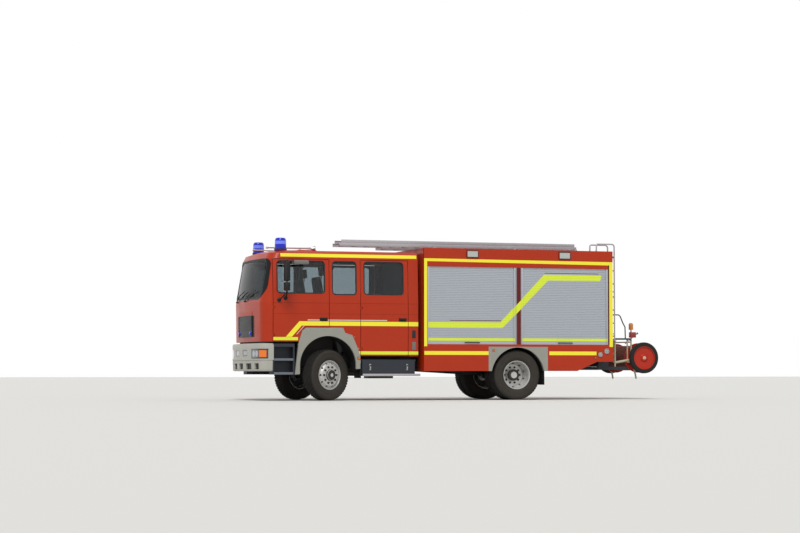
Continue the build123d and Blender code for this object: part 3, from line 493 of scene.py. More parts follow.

# Two-pack enamel over primer, polished, with retroreflective tape laid on it and thin darker lines
# painted as shade in the cab's swage lines
SIGNAL_RED = Finish(
    "signal_red_enamel", "AE300A", shade="A42A08", coat=0.08, specular=0.25, grain=30, bump=0.02,
    zones=(
        # Painted shade: two thin darker lines where the cab side's swage lines run
        Zone(CREASE_PAINTED_SHADE, (plate((1159, -1951), (1987, 1993)), plate((1159, -1951), (1767, 1772))),
             (1140, 1160), Facing.OUTWARD),
        Zone(YELLOW, CAB_YELLOW + BODY_YELLOW + SKIRT_YELLOW, (1075, 1300), Facing.OUTWARD),
        Zone(LIME, CAB_LIME, (1130, 1300), Facing.OUTWARD),
        Zone(MATT_BLACK, (plate((1400, 1500), (1300, 1736)),), (500, 640)),
        Zone(MATT_BLACK, (plate((-6216, -6240), (1162, 2860)),), (1200, 1251), Facing.OUTWARD),
        Zone(GUIDE_GREY, (plate((-4096, -4112), (1162, 2774)), plate((-4203, -4219), (1162, 2774))),
             (1200, 1251), Facing.OUTWARD),
        Zone(DARK_RED, (plate((-4112, -4203), (1162, 2774)),), (1200, 1251), Facing.OUTWARD),
        Zone(LIME, (SHUTTER_LIME[1],), (1200, 1251), Facing.OUTWARD),
        Zone(PALE_LINE, CAB_PALE, (1130, 1300), Facing.OUTWARD),
        Zone(LINING, CAB_LINING[:1], (0, 1091.5), Facing.INWARD),
        Zone(LINING, CAB_LINING, (0, 1035)),
        Zone(LINING, FRONT_LINING, (0, 850)),
        Zone(DARK_RED, (plate((-5962, -6288), (832, 1098)),), (1180, 1245)),
        Zone(MATT_BLACK, (plate((8, 182), (1622, 1692)), plate((-1699, -1525), (1622, 1692))),
             (1140, 1151), Facing.OUTWARD),
        Zone(MATT_BLACK, (plate((20, 170), (1644, 1676)), plate((-1687, -1537), (1644, 1676))),
             (1152, 1190)),
    ),
)
# Grey polyester powder coat: half matt
PEBBLE_GREY = Finish(
    "pebble_grey_powder_coat", "94948B", shade="8B8A82", roughness=0.45, grain=20,
)
# Moulded wheel arches with black liners
ARCH_GREY = Finish(
    "arch_grey_moulding", "94948B", shade="8B8A82", roughness=0.5, grain=20,
    zones=(
        Zone(MATT_BLACK, (plate((800, -800), (400, 1500)),), (0, 1101)),
        Zone(MATT_BLACK, (plate((-686, -702), (440, 762)),)),
        Zone(MATT_BLACK, (plate((-3400, -4850), (300, 1117)),), (0, 1185)),
        Zone(MATT_BLACK, (plate((-4736, -4752), (300, 604)),)),
    ),
)
# Lighter grey enamel on the bumper's steel
BUMPER_GREY = Finish("bumper_grey_enamel", "ABAAA0", shade="A2A198", roughness=0.4, grain=20)
# Anthracite powder coat on folded sheet: half matt with a blue cast, bright tread edges
ANTHRACITE = Finish(
    "anthracite_powder_coat", "2B2F37", shade="262A31", roughness=0.5, specular=0.35, grain=15,
    zones=(
        Zone(STEP_EDGE, (plate((738, 1141), (816, 862)), plate((738, 1141), (533, 582))),
             (1100, 1160)),
        Zone(BARE_ALUMINIUM, (plate((-735, -1780), (505, 548)),), (1125, 1170)),
    ),
)
# Black chassis lacquer over cast and rolled steel: dull, dusty
CHASSIS_BLACK = Finish("chassis_black_lacquer", "1A1A1B", shade="262422", roughness=0.6, grain=25)
# Grained black polypropylene: matt
BLACK_PLASTIC = Finish(
    "black_polypropylene", "0D0E10", Surface.MOULDED, "121315", 0.5, specular=0.3, grain=2
)
# Natural rubber tyre compound, moulded: matt, greyed by dust
TYRE_RUBBER = Finish(
    "tyre_rubber", "2E2B27", Surface.MOULDED, "393530", 0.85, specular=0.3, grain=6, bump=0.2
)
# The same compound on the tread, blacker and polished by the road
TREAD_RUBBER = Finish(
    "tread_rubber", "191817", Surface.MOULDED, "211F1D", 0.75, specular=0.3, grain=4, bump=0.2
)
# Silver wheel enamel: a fine metal flake
WHEEL_SILVER = Finish(
    "wheel_silver_enamel", "C9C9C6", shade="B5B4B0", roughness=0.38, metallic=0.35
)
# Natural anodised aluminium, extruded: satin with drawn lines, tape and black bar handles
ANODISED = Finish(
    "natural_anodised_aluminium", "B1B6BD", Surface.EXTRUDED, "A6ACB3", 0.42, 0.5, grain=2,
    zones=(
        Zone(LIME, SHUTTER_LIME, (1215, 1250), Facing.OUTWARD),
        Zone(DARK_RED, SHUTTER_RED, (1215, 1250), Facing.OUTWARD),
        Zone(MATT_BLACK, (plate((-2935, -3283), (1180, 1240)), plate((-5042, -5390), (1180, 1240))),
             (1240, 1280)),
    ),
)
# Aluminium ladder section, mill finish: dull grey
MILL_ALUMINIUM = Finish(
    "mill_finish_aluminium", "B3B0B3", Surface.EXTRUDED, "A19EA2", 0.5, 0.35, grain=3
)
# Grey cast iron with an oil film
CAST_IRON = Finish("oiled_cast_iron", "2C2B29", Surface.CAST, "3A3733", 0.6, 0.3, grain=8, bump=0.3)
# Heat-stained aluminised exhaust steel
EXHAUST_STEEL = Finish("aluminised_steel", "6B655E", shade="4F4841", roughness=0.55, metallic=0.7)
# Woven seat cloth
SEAT_CLOTH = Finish("woven_seat_cloth", "23252B", Surface.WOVEN, "1D1F24", 0.9, grain=3, bump=0.3)
# Cream steel enamel on the reel's frame, dark grey above
CREAM = Finish(
    "cream_enamel", "BDB498", shade="AEA58A", roughness=0.4, coat=0.2,
    zones=(Zone(Tone("2B2B2D", 0.5), (plate((-6600, -7400), (1262, 1900)),)),),
)
# Oxide red enamel on the reel's flanges, with the hose wound between them
REEL_RED = Finish(
    "reel_red_enamel", "A3281A", shade="962214", roughness=0.45, specular=0.3,
    zones=(Zone(HOSE, (plate((-6700, -7700), (400, 1400)),), (0, 553)),),
)
# The same on the reel's wheels, with their rubber rims and pale hubs
WHEEL_RED = Finish(
    "reel_wheel_red_enamel", "B42C18", shade="A82612", roughness=0.4, specular=0.3,
    zones=(
        Ring(Tone("1E1D1C", 0.8), (-7225, 860, 890), (0, 1, 0), (0.248, 0.4)),
        Ring(Tone("D8CFB4", 0.4), (-7225, 860, 890), (0, 1, 0), (0.0, 0.034)),
    ),
)
# Float glass, grey tinted: clear and flat
WINDOW_GLASS = Finish(
    "grey_tinted_window_glass", "A9B4B8", Surface.POLISHED, roughness=0.0, transmission=1.0,
    bump=0.0, ior=1.4,
)
# Laminated windscreen, tinted dark as painted shade for the dim cab inside behind it, and little
# reflecting
WINDSCREEN_PAINTED_SHADE_GLASS = Finish(
    "laminated_windscreen_painted_dark", "3A4145", Surface.POLISHED, roughness=0.0, transmission=1.0,
    bump=0.0, ior=1.12,
)
# Ceramic print fired on the windscreen's border
BLACK_PRINT = Finish(
    "black_printed_glass", "1C1E21", Surface.POLISHED, roughness=0.12, specular=0.12, bump=0.0
)
# Grille panel, black round its louvres and body red above them
GRILLE_BLACK = Finish(
    "grille_black_plastic", "1A1B1E", Surface.MOULDED, "222327", 0.45, specular=0.3, grain=2,
    zones=(Zone(Tone("AE300A", 0.4), (plate((1380, 1560), (1736, 1830)),)),),
)
# Polished chrome plating of the horns
CHROME = Finish("polished_chrome", "C4C6C8", Surface.POLISHED, roughness=0.12, metallic=1.0)
# Clear polycarbonate over a silvered bowl, with the amber turn lamp at its outer end
LAMP_LENS = Finish(
    "lamp_polycarbonate", "2B2C2C", Surface.MOULDED, "333434", 0.12, 0.1, coat=0.3, grain=12,
    bump=0.25, zones=(
        Zone(Tone("70757A", 0.15, 0.4), (plate((1300, 1560), (886, 1026)),), (735, 1030)),
        Ring(REFLECTOR, (1470, 800, 956), (1, 0, 0), (0.0, 0.062)),
        Ring(REFLECTOR, (1450, 950, 956), (1, 0, 0), (0.0, 0.058)),
        Zone(AMBER, (plate((1300, 1440), (886, 1026)),), (1042, 1200)),
        Zone(Tone("8F9498", 0.15, 0.5), (plate((1400, 1560), (934, 1012)),), (180, 420)),
    ),
)
# Frosted glass of the scene lamps
SCENE_LENS = Finish(
    "frosted_lamp_glass", "B7BBB5", Surface.MOULDED, "A4A8A2", 0.25, coat=0.5, grain=8
)
# Red acrylic tail lens
RED_LENS = Finish(
    "red_acrylic", "8E1410", Surface.MOULDED, roughness=0.15, coat=0.5,
    zones=(Zone(Tone("B4690F", 0.3), (plate((-7000, -7100), (1495, 1660)),)),),
)
# Deep blue polycarbonate beacon hood on a dark base, with a pale band round its middle painted as a
# highlight of the reflector inside
BLUE_LENS = Finish(
    "blue_polycarbonate", "101CC4", Surface.MOULDED, "0A149A", 0.15, coat=0.3, glow=0.1, grain=12,
    bump=0.15, specular=0.3, zones=(
        Zone(MATT_BLACK, (plate((600, 1100), (3055, 3108)),)),
        # Painted highlight: a pale blue band round the hood's middle, standing for the lit
        # reflector inside
        Zone(Tone("6F86EE", 0.2), (plate((600, 1100), (3196, 3262)),)),
    ),
)
# Zinc-plated steel of latches, screws, treads and caps
BRIGHT_STEEL = Finish(
    "zinc_plated_steel", "B5B6B4", shade="9D9E9B", roughness=0.35, metallic=0.9, grain=5
)
# Dark cast steel of hub caps and nuts
HUB_STEEL = Finish(
    "dark_hub_steel", "3A3937", Surface.CAST, "2D2C2A", 0.55, 0.4, grain=6, bump=0.2
)
# Black EPDM rubber of seals and flaps
SEAL_RUBBER = Finish("black_seal_rubber", "0E0E0F", Surface.MOULDED, "141415", 0.6, grain=4)
# Amber acrylic of side markers
AMBER_LENS = Finish("amber_acrylic", "E0690C", Surface.MOULDED, "C85A08", 0.15, coat=0.6, grain=6)
# Grey plastic of covers and the kerb mirrors
GREY_PLASTIC = Finish("grey_polypropylene", "6F706C", Surface.MOULDED, "666763", 0.6, grain=3)
# Moulded black plastic of frames, bars and panels
DARK_TRIM = Finish("moulded_black_trim", "161618", Surface.MOULDED, "1B1B1D", 0.5, grain=3)

# Record slot, finish
SLOT_FINISHES = {
    "red_paint": SIGNAL_RED,
    "grey_paint": PEBBLE_GREY,
    "dark_grey_steel": ANTHRACITE,
    "glass": WINDOW_GLASS,
    "black_plastic": BLACK_PLASTIC,
    "lamp_lens": LAMP_LENS,
    "tail_lens": RED_LENS,
    "blue_lens": BLUE_LENS,
    "chassis_black": CHASSIS_BLACK,
    "engine_cast": CAST_IRON,
    "exhaust_steel": EXHAUST_STEEL,
    "wheel_silver": WHEEL_SILVER,
    "tyre": TYRE_RUBBER,
    "shutter_aluminium": ANODISED,
    "ladder_aluminium": MILL_ALUMINIUM,
    "seat_fabric": SEAT_CLOTH,
    "cream_paint": CREAM,
    "reel_red": REEL_RED,
    "reel_wheel_red": WHEEL_RED,
}
# Nodes whose finish differs from the rest of their slot
NODE_FINISHES = {
    "front_arches": ARCH_GREY,
    "rear_arches": ARCH_GREY,
    "bumper": BUMPER_GREY,
    "windscreen": WINDSCREEN_PAINTED_SHADE_GLASS,
    "scene_lamps": SCENE_LENS,
}


class Shape:
    """Vertices and faces in row metres, gathered before they become one piece."""

    def __init__(self) -> None:
        self.points: list[Vector] = []
        self.faces: list[tuple[int, ...]] = []

    def add(self, points: list[Vector], faces: list[tuple[int, ...]]) -> None:
        """Add points and the faces between them."""
        start = len(self.points)
        self.points += points
        self.faces += [tuple(start + i for i in face) for face in faces]

    def rows(self, rows: list[list[Vector]], closed: bool = True) -> None:
        """Skin over rows of points that have the same length.

        Args:
            rows: Rings of points, in order.
            closed: Whether the last row joins the first. If not, the end rows get a face each.
        """
        size = len(rows[0])
        faces = []
        for i in range(len(rows) if closed else len(rows) - 1):
            after = (i + 1) % len(rows)
            for j in range(size):
                k = (j + 1) % size
                faces.append((i * size + j, i * size + k, after * size + k, after * size + j))
        if not closed:
            end = len(rows) * size
            faces += [tuple(range(size)), tuple(range(end - 1, end - size - 1, -1))]
        self.add([point for row in rows for point in row], faces)

    def box(self, xs: tuple, ys: tuple, zs: tuple, bevel: float = 0.0) -> None:
        """A box from station, width and height ranges in millimetres, with bevelled edges."""
        sides = [sorted(map(at, xs)), sorted(y * MM for y in ys), sorted(z * MM for z in zs)]
        made = bmesh.new()
        bmesh.ops.create_cube(made, size=1.0)
        for vertex in made.verts:
            vertex.co = [sides[i][vertex.co[i] > 0] for i in range(3)]
        if bevel:
            bmesh.ops.bevel(
                made, geom=made.edges[:], offset=bevel * MM, segments=2, profile=0.6,
                affect="EDGES",
            )
        made.verts.index_update()
        self.add([v.co.copy() for v in made.verts],
                 [tuple(v.index for v in face.verts) for face in made.faces])
        made.free()

    def cable(self, path: list[Vector], radius: float, sides: int = 10) -> None:
        """A round bar along a path of points in metres."""
        rows = []
        for i, point in enumerate(path):
            ahead = (path[min(i + 1, len(path) - 1)] - path[max(i - 1, 0)]).normalized()
            across = ahead.orthogonal().normalized()
            if rows:
                across = (last - ahead * last.dot(ahead)).normalized()
            last = across
            up = ahead.cross(across)
            rows.append([
                point + across * x + up * y for x, y, _ in circle(radius, sides, 0.0)
            ])
        self.rows(rows, closed=False)

    def lathe(
        self, profile: list[Pair], centre: Vector, axis: Vector, steps: int = 96
    ) -> None:
        """Turn a closed profile of (distance along, radius) in metres round an axis."""
        across = axis.orthogonal().normalized()
        up = axis.cross(across)
        rows = []
        for x, y, _ in circle(1.0, steps, 0.0):
            out = across * x + up * y
            rows.append([centre + axis * d + out * r for d, r in profile])
        self.rows(rows)

    def piece(
        self, name: str, finish: Finish, body: str, slot: str, *nodes: str, smooth: bool = True
    ) -> None:
        """Turn what was gathered into a piece; the arguments are those of finished."""
        mesh = bpy.data.meshes.new(name)
        mesh.from_pydata(self.points, [], self.faces)
        finished(mesh, name, finish, body, slot, *nodes, smooth=smooth)


def finished(
    mesh: Mesh, name: str, finish: Finish, body: str, slot: str, *nodes: str,
    smooth: bool = True,
) -> Object:
    """Give a mesh outward normals, its finish and its body, and hide the nodes that it stands for.

    Args:
        mesh: The piece's mesh, in row metres.
        name: The piece's name.
        finish: Its finish.
        body: The body that carries it.
        slot: The record's slot for its material; not used.
        nodes: The nodes that it stands for.
        smooth: Whether its faces are shaded smooth up to sharp edges.

    Returns:
        The piece.
    """
    work = bmesh.new()
    work.from_mesh(mesh)
    bmesh.ops.recalc_face_normals(work, faces=work.faces[:])
    for face in work.faces:
        face.smooth = smooth
    for edge in work.edges:
        if len(edge.link_faces) == 2 and edge.calc_face_angle(0.0) > SHARP:
            edge.smooth = False
    work.to_mesh(mesh)
    work.free()
    if not mesh.materials:
        mesh.materials.append(finish.make())
    piece = linked(name, mesh)
    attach(piece, body)
    if nodes:
        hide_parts(*nodes)
    log.info("%s: %s, %d faces", name, finish.name, len(mesh.polygons))
    return piece


class Repeater:
    """Sets copies of one small form at given places, by Geometry Nodes made real."""

    def __init__(self) -> None:
        tree = bpy.data.node_groups.new("set_copies", "GeometryNodeTree")
        face = tree.interface
        for name, kind in (("Places", "Geometry"), ("Form", "Object"), ("Finish", "Material")):
            face.new_socket(name, in_out="INPUT", socket_type="NodeSocket" + kind)
        face.new_socket("Copies", in_out="OUTPUT", socket_type="NodeSocketGeometry")
        given = tree.nodes.new("NodeGroupInput")
        result = tree.nodes.new("NodeGroupOutput")
        form = add_node(tree, "GeometryNodeObjectInfo", {}, {"Object": given.outputs["Form"]})
        turn = add_node(
            tree, "GeometryNodeInputNamedAttribute", {"data_type": "FLOAT_VECTOR", "Name": "turn"}
        )
        rotation = add_node(
            tree, "FunctionNodeEulerToRotation", {}, {"Euler": turn.outputs["Attribute"]}
        )
        points = add_node(
            tree, "GeometryNodeMeshToPoints", {}, {"Mesh": given.outputs["Places"]}
        )
        copies = add_node(
            tree, "GeometryNodeInstanceOnPoints", {},
            {"Points": points.outputs[0], "Instance": form.outputs["Geometry"],
             "Rotation": rotation.outputs[0]},
        )
        real = add_node(
            tree, "GeometryNodeRealizeInstances", {}, {"Geometry": copies.outputs[0]}
        )
        dressed = add_node(
            tree, "GeometryNodeSetMaterial", {},
            {"Geometry": real.outputs[0], "Material": given.outputs["Finish"]},
        )
        tree.links.new(dressed.outputs[0], result.inputs[0])
        self.tree = tree
        self.keys = {
            item.name: item.identifier for item in face.items_tree
            if item.item_type == "SOCKET" and item.in_out == "INPUT"
        }

    def place(
        self, name: str, form: Shape, places: list[Matrix], finish: Finish, body: str, slot: str,
        *nodes: str,
    ) -> None:
        """Make one piece of copies of a form.

        Args:
            name: The piece's name.
            form: The small form, about its own origin.
            places: One matrix for each copy.
            finish: The copies' finish.
            body: The body that carries them.
            slot: The record's slot for their material.
            nodes: The nodes that they stand for.
        """
        unit_mesh = bpy.data.meshes.new(name + "_form")
        unit_mesh.from_pydata(form.points, [], form.faces)
        unit = linked(name + "_form", unit_mesh)
        host_mesh = bpy.data.meshes.new(name + "_places")
        host_mesh.from_pydata([place.to_translation() for place in places], [], [])
        turns = host_mesh.attributes.new("turn", "FLOAT_VECTOR", "POINT")
        for i, place in enumerate(places):
            turns.data[i].vector = place.to_euler()
        host = linked(name + "_host", host_mesh)
        modifier = host.modifiers.new("copies", "NODES")
        modifier.node_group = self.tree
        modifier[self.keys["Form"]] = unit
        modifier[self.keys["Finish"]] = finish.make()
        graph = bpy.context.evaluated_depsgraph_get()
        mesh = bpy.data.meshes.new_from_object(host.evaluated_get(graph))
        mesh.name = name
        host.modifiers.remove(modifier)
        for obj in (unit, host):
            bpy.data.objects.remove(obj, do_unlink=True)
        finished(mesh, name, finish, body, slot, *nodes)


REPEATER = Repeater()


def facing(place: Vector, out: Vector, along: Vector) -> Matrix:
    """A place whose Z looks out and whose X runs along."""
    z = out.normalized()
    x = (along - z * along.dot(z)).normalized()
    turn = Matrix((x, z.cross(x), z)).transposed().to_4x4()
    return Matrix.Translation(place) @ turn


@dataclass
class Wheel:
    """One wheel's own frame: where its middle is and which way its outer side looks."""

    name: str
    body: str
    middle: Vector
    out: Vector

    def spoke(self, angle: float) -> Vector:
        """The direction from the axle at an angle."""
        across = self.out.cross(UP).normalized()
        return across * math.cos(angle) + self.out.cross(across) * math.sin(angle)


@dataclass
class Tyre:
    """A tyre with a ribbed carcass and moulded tread blocks, in metres."""

    wheel: Wheel
    node: str
    offsets: tuple[float, ...] = (0.0,)
    radius: float = 0.5212
    tread_depth: float = 0.015
    pitches: int = 52
    # Length of a block as a share of its pitch
    filled: float = 0.68
    # How far the blocks stay inside the radius, and how much further past the shoulder
    sink: float = 0.0009
    shoulder: float = 0.09
    shoulder_sink: float = 0.006
    # Rows of blocks: distance across, width, half-pitch shift
    rows: tuple[Triple, ...] = (
        (-0.104, 0.034, 0.0), (-0.060, 0.038, 0.5), (-0.017, 0.036, 0.2), (0.026, 0.036, 0.7),
        (0.068, 0.036, 0.4), (0.108, 0.030, 0.0),
    )

    def carcass(self) -> list[Pair]:
        """The section of the carcass: distance across, radius."""
        base = self.radius - self.tread_depth
        half = [
            (0.107, 0.290), (0.107, 0.303), (0.1255, 0.325), (0.1275, 0.328), (0.133, 0.345),
            (0.1355, 0.347), (0.1445, 0.385), (0.1449, 0.405), (0.1395, 0.450), (0.1415, 0.454),
            (0.133, 0.482), (0.1225, 0.5), (0.112, base), (0.05, base + 0.001),
        ]
        return half + [(-a, r) for a, r in reversed(half)]

    def block(self, width: float) -> Shape:
        """One tread block: a low box drawn in at its top, its length along X."""
        length = FULL_TURN * self.radius / self.pitches * self.filled
        form = Shape()
        form.rows([
            [Vector((length / 2 * i * k, width / 2 * j * k, z)) for i, j in
             ((-1, -1), (1, -1), (1, 1), (-1, 1))]
            for k, z in ((1.0, -self.tread_depth - 0.004), (0.97, -0.002), (0.90, 0.0))
        ], closed=False)
        return form

    def build(self) -> None:
        """Make the tyre in place of its node."""
        name, middle, out = self.wheel.name, self.wheel.middle, self.wheel.out
        carcass = Shape()
        for offset in self.offsets:
            carcass.lathe(self.carcass(), middle + out * offset, out)
        carcass.piece(name + "_carcass", TYRE_RUBBER, self.wheel.body, "tyre", self.node)
        for number, (across, width, shift) in enumerate(self.rows):
            places = []
            crown = self.radius - self.sink
            if abs(across) > self.shoulder:
                crown -= self.shoulder_sink
            for offset in self.offsets:
                for k in range(self.pitches):
                    spoke = self.wheel.spoke(FULL_TURN * (k + shift) / self.pitches)
                    place = middle + out * (offset + across) + spoke * crown
                    places.append(facing(place, spoke, out.cross(spoke)))
            REPEATER.place(
                f"{name}_tread_{number}", self.block(width), places, TREAD_RUBBER,
                self.wheel.body, "tyre", self.node,
            )


@dataclass
class WheelNuts:
    """The nuts on a wheel's disc and the cap over its hub, in metres."""

    wheel: Wheel
    face: float
    cap: Pairs
    shield: float
    count: int = 10
    pitch_radius: float = 0.1675
    across: float = 0.032
    height: float = 0.024
    # Radii of the dust shield and its thickness
    shield_radii: Pair = (0.12, 0.262)
    shield_wall: float = 0.004

    def build(self) -> None:
        """Make the nuts, their washers and studs, the hub cap and the dust shield."""
        nut = Shape()
        for radius, low, high, sides in (
            (self.across * 0.72, 0.0, 0.004, 18), (self.across * 0.577, 0.004, self.height, 6),
            (self.across * 0.3, self.height, self.height + 0.012, 12),
        ):
            nut.rows([circle(radius, sides, z) for z in (low, high)], closed=False)
        wheel, middle, out = self.wheel, self.wheel.middle, self.wheel.out
        places = []
        for k in range(self.count):
            spoke = wheel.spoke(FULL_TURN * k / self.count)
            places.append(facing(middle + out * self.face + spoke * self.pitch_radius, out, spoke))
        REPEATER.place(wheel.name + "_nuts", nut, places, HUB_STEEL, wheel.body, "wheel_silver")
        cap = Shape()
        cap.lathe(list(self.cap), middle, out, 64)
        cap.piece(wheel.name + "_hub_cap", HUB_STEEL, wheel.body, "wheel_silver")
        hole, rim = self.shield_radii
        back = self.shield - self.shield_wall
        shield = Shape()
        shield.lathe([(self.shield, hole), (self.shield, rim), (back, rim), (back, hole)],
                     middle, out, 64)
        shield.piece(wheel.name + "_dust_shield", CHASSIS_BLACK, wheel.body, "wheel_silver")


@dataclass
class Seal:
    """A rubber seal round one pane, from the glass up over the panel's edge."""

    node: str
    body: str
    lap: float = 12
    cover: float = 15
    depth: float = 14
    # Faces that turn by more than this belong to different patches
    fold: float = math.radians(25)
    # A patch is the pane's face from this share of the largest patch
    share: float = 0.5
    # Station behind which a pane can't look ahead from the vehicle's middle
    cab_middle: float = 900

    def build(self) -> None:
        """Follow the pane's outline on its outer face and skin a rubber section along it."""
        work = bmesh.new()
        work.from_mesh(frame["nodes"][self.node].data)
        bmesh.ops.remove_doubles(work, verts=work.verts[:], dist=0.00002)
        form = Shape()
        for patch in self.outer_patches(work):
            for loop in self.loops(patch):
                self.skin(form, patch, loop)
        work.free()
        form.piece(self.node + "_seal", SEAL_RUBBER, self.body, "black_plastic")

    def outer_patches(self, work: bmesh.types.BMesh) -> list[set]:
        """The smooth stretches of face that look away from the vehicle's middle."""
        left = set(work.faces)
        patches = []
        while left:
            stack = [left.pop()]
            patch = set(stack)
            while stack:
                for edge in stack.pop().edges:
                    for other in edge.link_faces:
                        if other in left and edge.calc_face_angle(0.0) < self.fold:
                            left.discard(other)
                            patch.add(other)
                            stack.append(other)
            patches.append(patch)
        areas = [sum(face.calc_area() for face in patch) for patch in patches]
        kept = []
        for patch, area in zip(patches, areas):
            if area < self.share * max(areas):
                continue
            look = sum((face.normal * face.calc_area() for face in patch), Vector())
            where = sum((face.calc_center_median() * face.calc_area() for face in patch),
                        Vector()) / area
            away = Vector((max(where.x - at(self.cab_middle), 0.0), where.y, 0.0))
            if look.dot(away) > 0:
                kept.append(patch)
        return kept

    def loops(self, patch: set) -> list[list]:
        """The closed boundary loops of a patch, as lists of vertices."""
        ahead = {}
        for face in patch:
            for loop in face.loops:
                if any(other in patch for other in loop.edge.link_faces if other is not face):
                    continue
                ahead[loop.vert] = loop.link_loop_next.vert
        rings = []
        while ahead:
            first = next(iter(ahead))
            ring = [first]
            vertex = ahead.pop(first)
            while vertex is not first and vertex in ahead:
                ring.append(vertex)
                vertex = ahead.pop(vertex)
            rings.append(ring)
        return [ring for ring in rings if len(ring) > 3]

    def skin(self, form: Shape, patch: set, ring: list) -> None:
        """Skin the seal's section along one loop."""
        path = [vertex.co.copy() for vertex in ring]
        looks = [
            sum((face.normal for face in vertex.link_faces if face in patch), Vector()).normalized()
            for vertex in ring
        ]
        rows = []
        for i, point in enumerate(path):
            before, after = path[i - 1], path[(i + 1) % len(path)]
            ahead = ((point - before).normalized() + (after - point).normalized()).normalized()
            out = ahead.cross(looks[i]).normalized()
            spread = 1 / max(ahead.dot((after - point).normalized()), 0.5)
            rows.append([
                point + (out * a * spread + looks[i] * b) * MM
                for a, b in ((-self.lap, 0.2), (-self.lap, 3.0), (-2.0, self.depth + 1.5),
                             (self.cover, self.depth + 1.5), (self.cover, self.depth - 1.0),
                             (0.0, self.depth - 4.0))
            ])
        form.rows(rows)


@dataclass
class Cushion:
    """A seat pad of cloth over foam: crowned, drawn in at its sides, with sewn channels.

    It is given by its middle, the half sizes along its own axes, the lean of its face in degrees
    and the channels across it.
    """

    name: str
    middle: Triple
    half: Triple
    lean: float = 0.0
    channels: tuple[float, ...] = ()
    crown: float = 14
    fill: float = 0.8
    # Cuts of the cube along each edge, and the power that squares its corners
    cuts: int = 23
    power: int = 8
    # Share of the crown on the underside, and the level from which channels are sewn in
    under: float = 0.2
    sewn_from: float = 0.6
    channel_depth: float = 7.0
    channel_width: float = 7.0
    # Piping: its level on the pad, distance from the middle, radius and points
    cord_level: float = 0.72
    cord_inset: float = 0.985
    cord: float = 4.0
    cord_points: int = 96

    def rounded(self, u: float, v: float, w: float) -> float:
        """How much a point on the cube is drawn in, so that the cube's edges are rounded."""
        return (abs(u) ** self.power + abs(v) ** self.power + abs(w) ** self.power) ** (
            -1 / self.power
        )

    def build(self) -> None:
        """Make the pad and its piping."""
        work = bmesh.new()
        bmesh.ops.create_cube(work, size=2.0)
        bmesh.ops.subdivide_edges(work, edges=work.edges[:], cuts=self.cuts, use_grid_fill=True)
        turn = Matrix.Rotation(math.radians(self.lean), 3, "Y")
        place = spot(*self.middle)
        a, b, c = (h * MM for h in self.half)
        for vertex in work.verts:
            u, v, w = vertex.co
            s = self.rounded(u, v, w)
            bulge = (1 - u * u) * (1 - v * v) * self.crown * MM * (1 if w > 0 else self.under)
            z = w * c * s + bulge * w
            if abs(w) > self.sewn_from:
                for channel in self.channels:
                    away = (v * self.half[1] - channel) / self.channel_width
                    z -= w * self.channel_depth * MM * math.exp(-away ** 2)
            vertex.co = turn @ Vector((u * a * s, v * b * s, z)) + place
        mesh = bpy.data.meshes.new(self.name)
        work.to_mesh(mesh)
        work.free()
        piece = finished(mesh, self.name, SEAT_CLOTH, "chassis", "seat_fabric", "seats")
        self.piping(turn, place, (a, b, c))

    def piping(self, turn: Matrix, place: Vector, half: Triple) -> None:
        """Run a sewn cord round the pad's two edges."""
        a, b, c = half
        count = self.cord_points
        form = Shape()
        for level in (-self.cord_level, self.cord_level):
            ring = []
            for u, v, _ in circle(1.0, count, 0.0):
                s = self.cord_inset * self.rounded(u, v, level)
                ring.append(turn @ Vector((u * a * s, v * b * s, level * c * s)) + place)
            rows = []
            for k, point in enumerate(ring):
                ahead = (ring[(k + 1) % count] - ring[k - 1]).normalized()
                side = ahead.cross(turn @ UP).normalized()
                up = side.cross(ahead)
                rows.append([
                    point + self.cord * MM * (side * x + up * y) for x, y, _ in circle(1.0, 8, 0.0)
                ])
            form.rows(rows)
        form.piece(self.name + "_piping", SEAT_CLOTH, "chassis", "seat_fabric", "seats")


@dataclass
class Seats:
    """The two front seats and the crew's bench, with their frames."""

    # A front seat's pads: name, station and height, half sizes, lean, channels
    pads: tuple = (
        ("seat_cushion", (315, 1935), (235, 235, 58), 0, (-120, 120)),
        ("seat_back", (58, 2235), (310, 225, 50), -80, (-115, 115)),
        ("headrest", (-8, 2662), (92, 120, 38), -84, ()),
    )
    # The bench's backs and their widths
    backs: tuple = (("left", 780), ("left_middle", 260), ("right_middle", -260), ("right", -780))
    # Distance of the front seats and of a headrest's posts from their middle planes
    seat_width: float = 640
    post_width: float = 55

    def build(self) -> None:
        """Make every pad and the hard frames under them."""
        for seat, y in (("driver", self.seat_width), ("officer", -self.seat_width)):
            for name, (x, z), half, lean, channels in self.pads:
                Cushion(f"{seat}_{name}", (x, y, z), half, lean, channels).build()
        channels = (-680, -340, 0, 340, 680)
        Cushion("bench_cushion", (-1605, 0, 1440), (240, 1025, 56), 0, channels).build()
        for name, y in self.backs:
            Cushion(
                f"bench_back_{name}", (-1820, y, 1830), (300, 240, 50), -90, (-120, 120)
            ).build()
        frames = Shape()
        for side, _ in SIDES:
            y = self.seat_width * side
            frames.box((150, 430), (y - 150, y + 150), (1551, 1860), 20)
            frames.box((80, 550), (y - 225, y + 225), (1862, 1884), 8)
            for post in (y - self.post_width, y + self.post_width):
                frames.box((-8, 10), (post - 8, post + 8), (2500, 2600), 5)
        frames.box((-1450, -1850), (-1000, 1000), (1011, 1384), 12)
        frames.box((-1868, -1884), (-1030, 1030), (1500, 2150), 5)
        frames.piece("seat_frames", DARK_TRIM, "chassis", "seat_fabric", "seats")


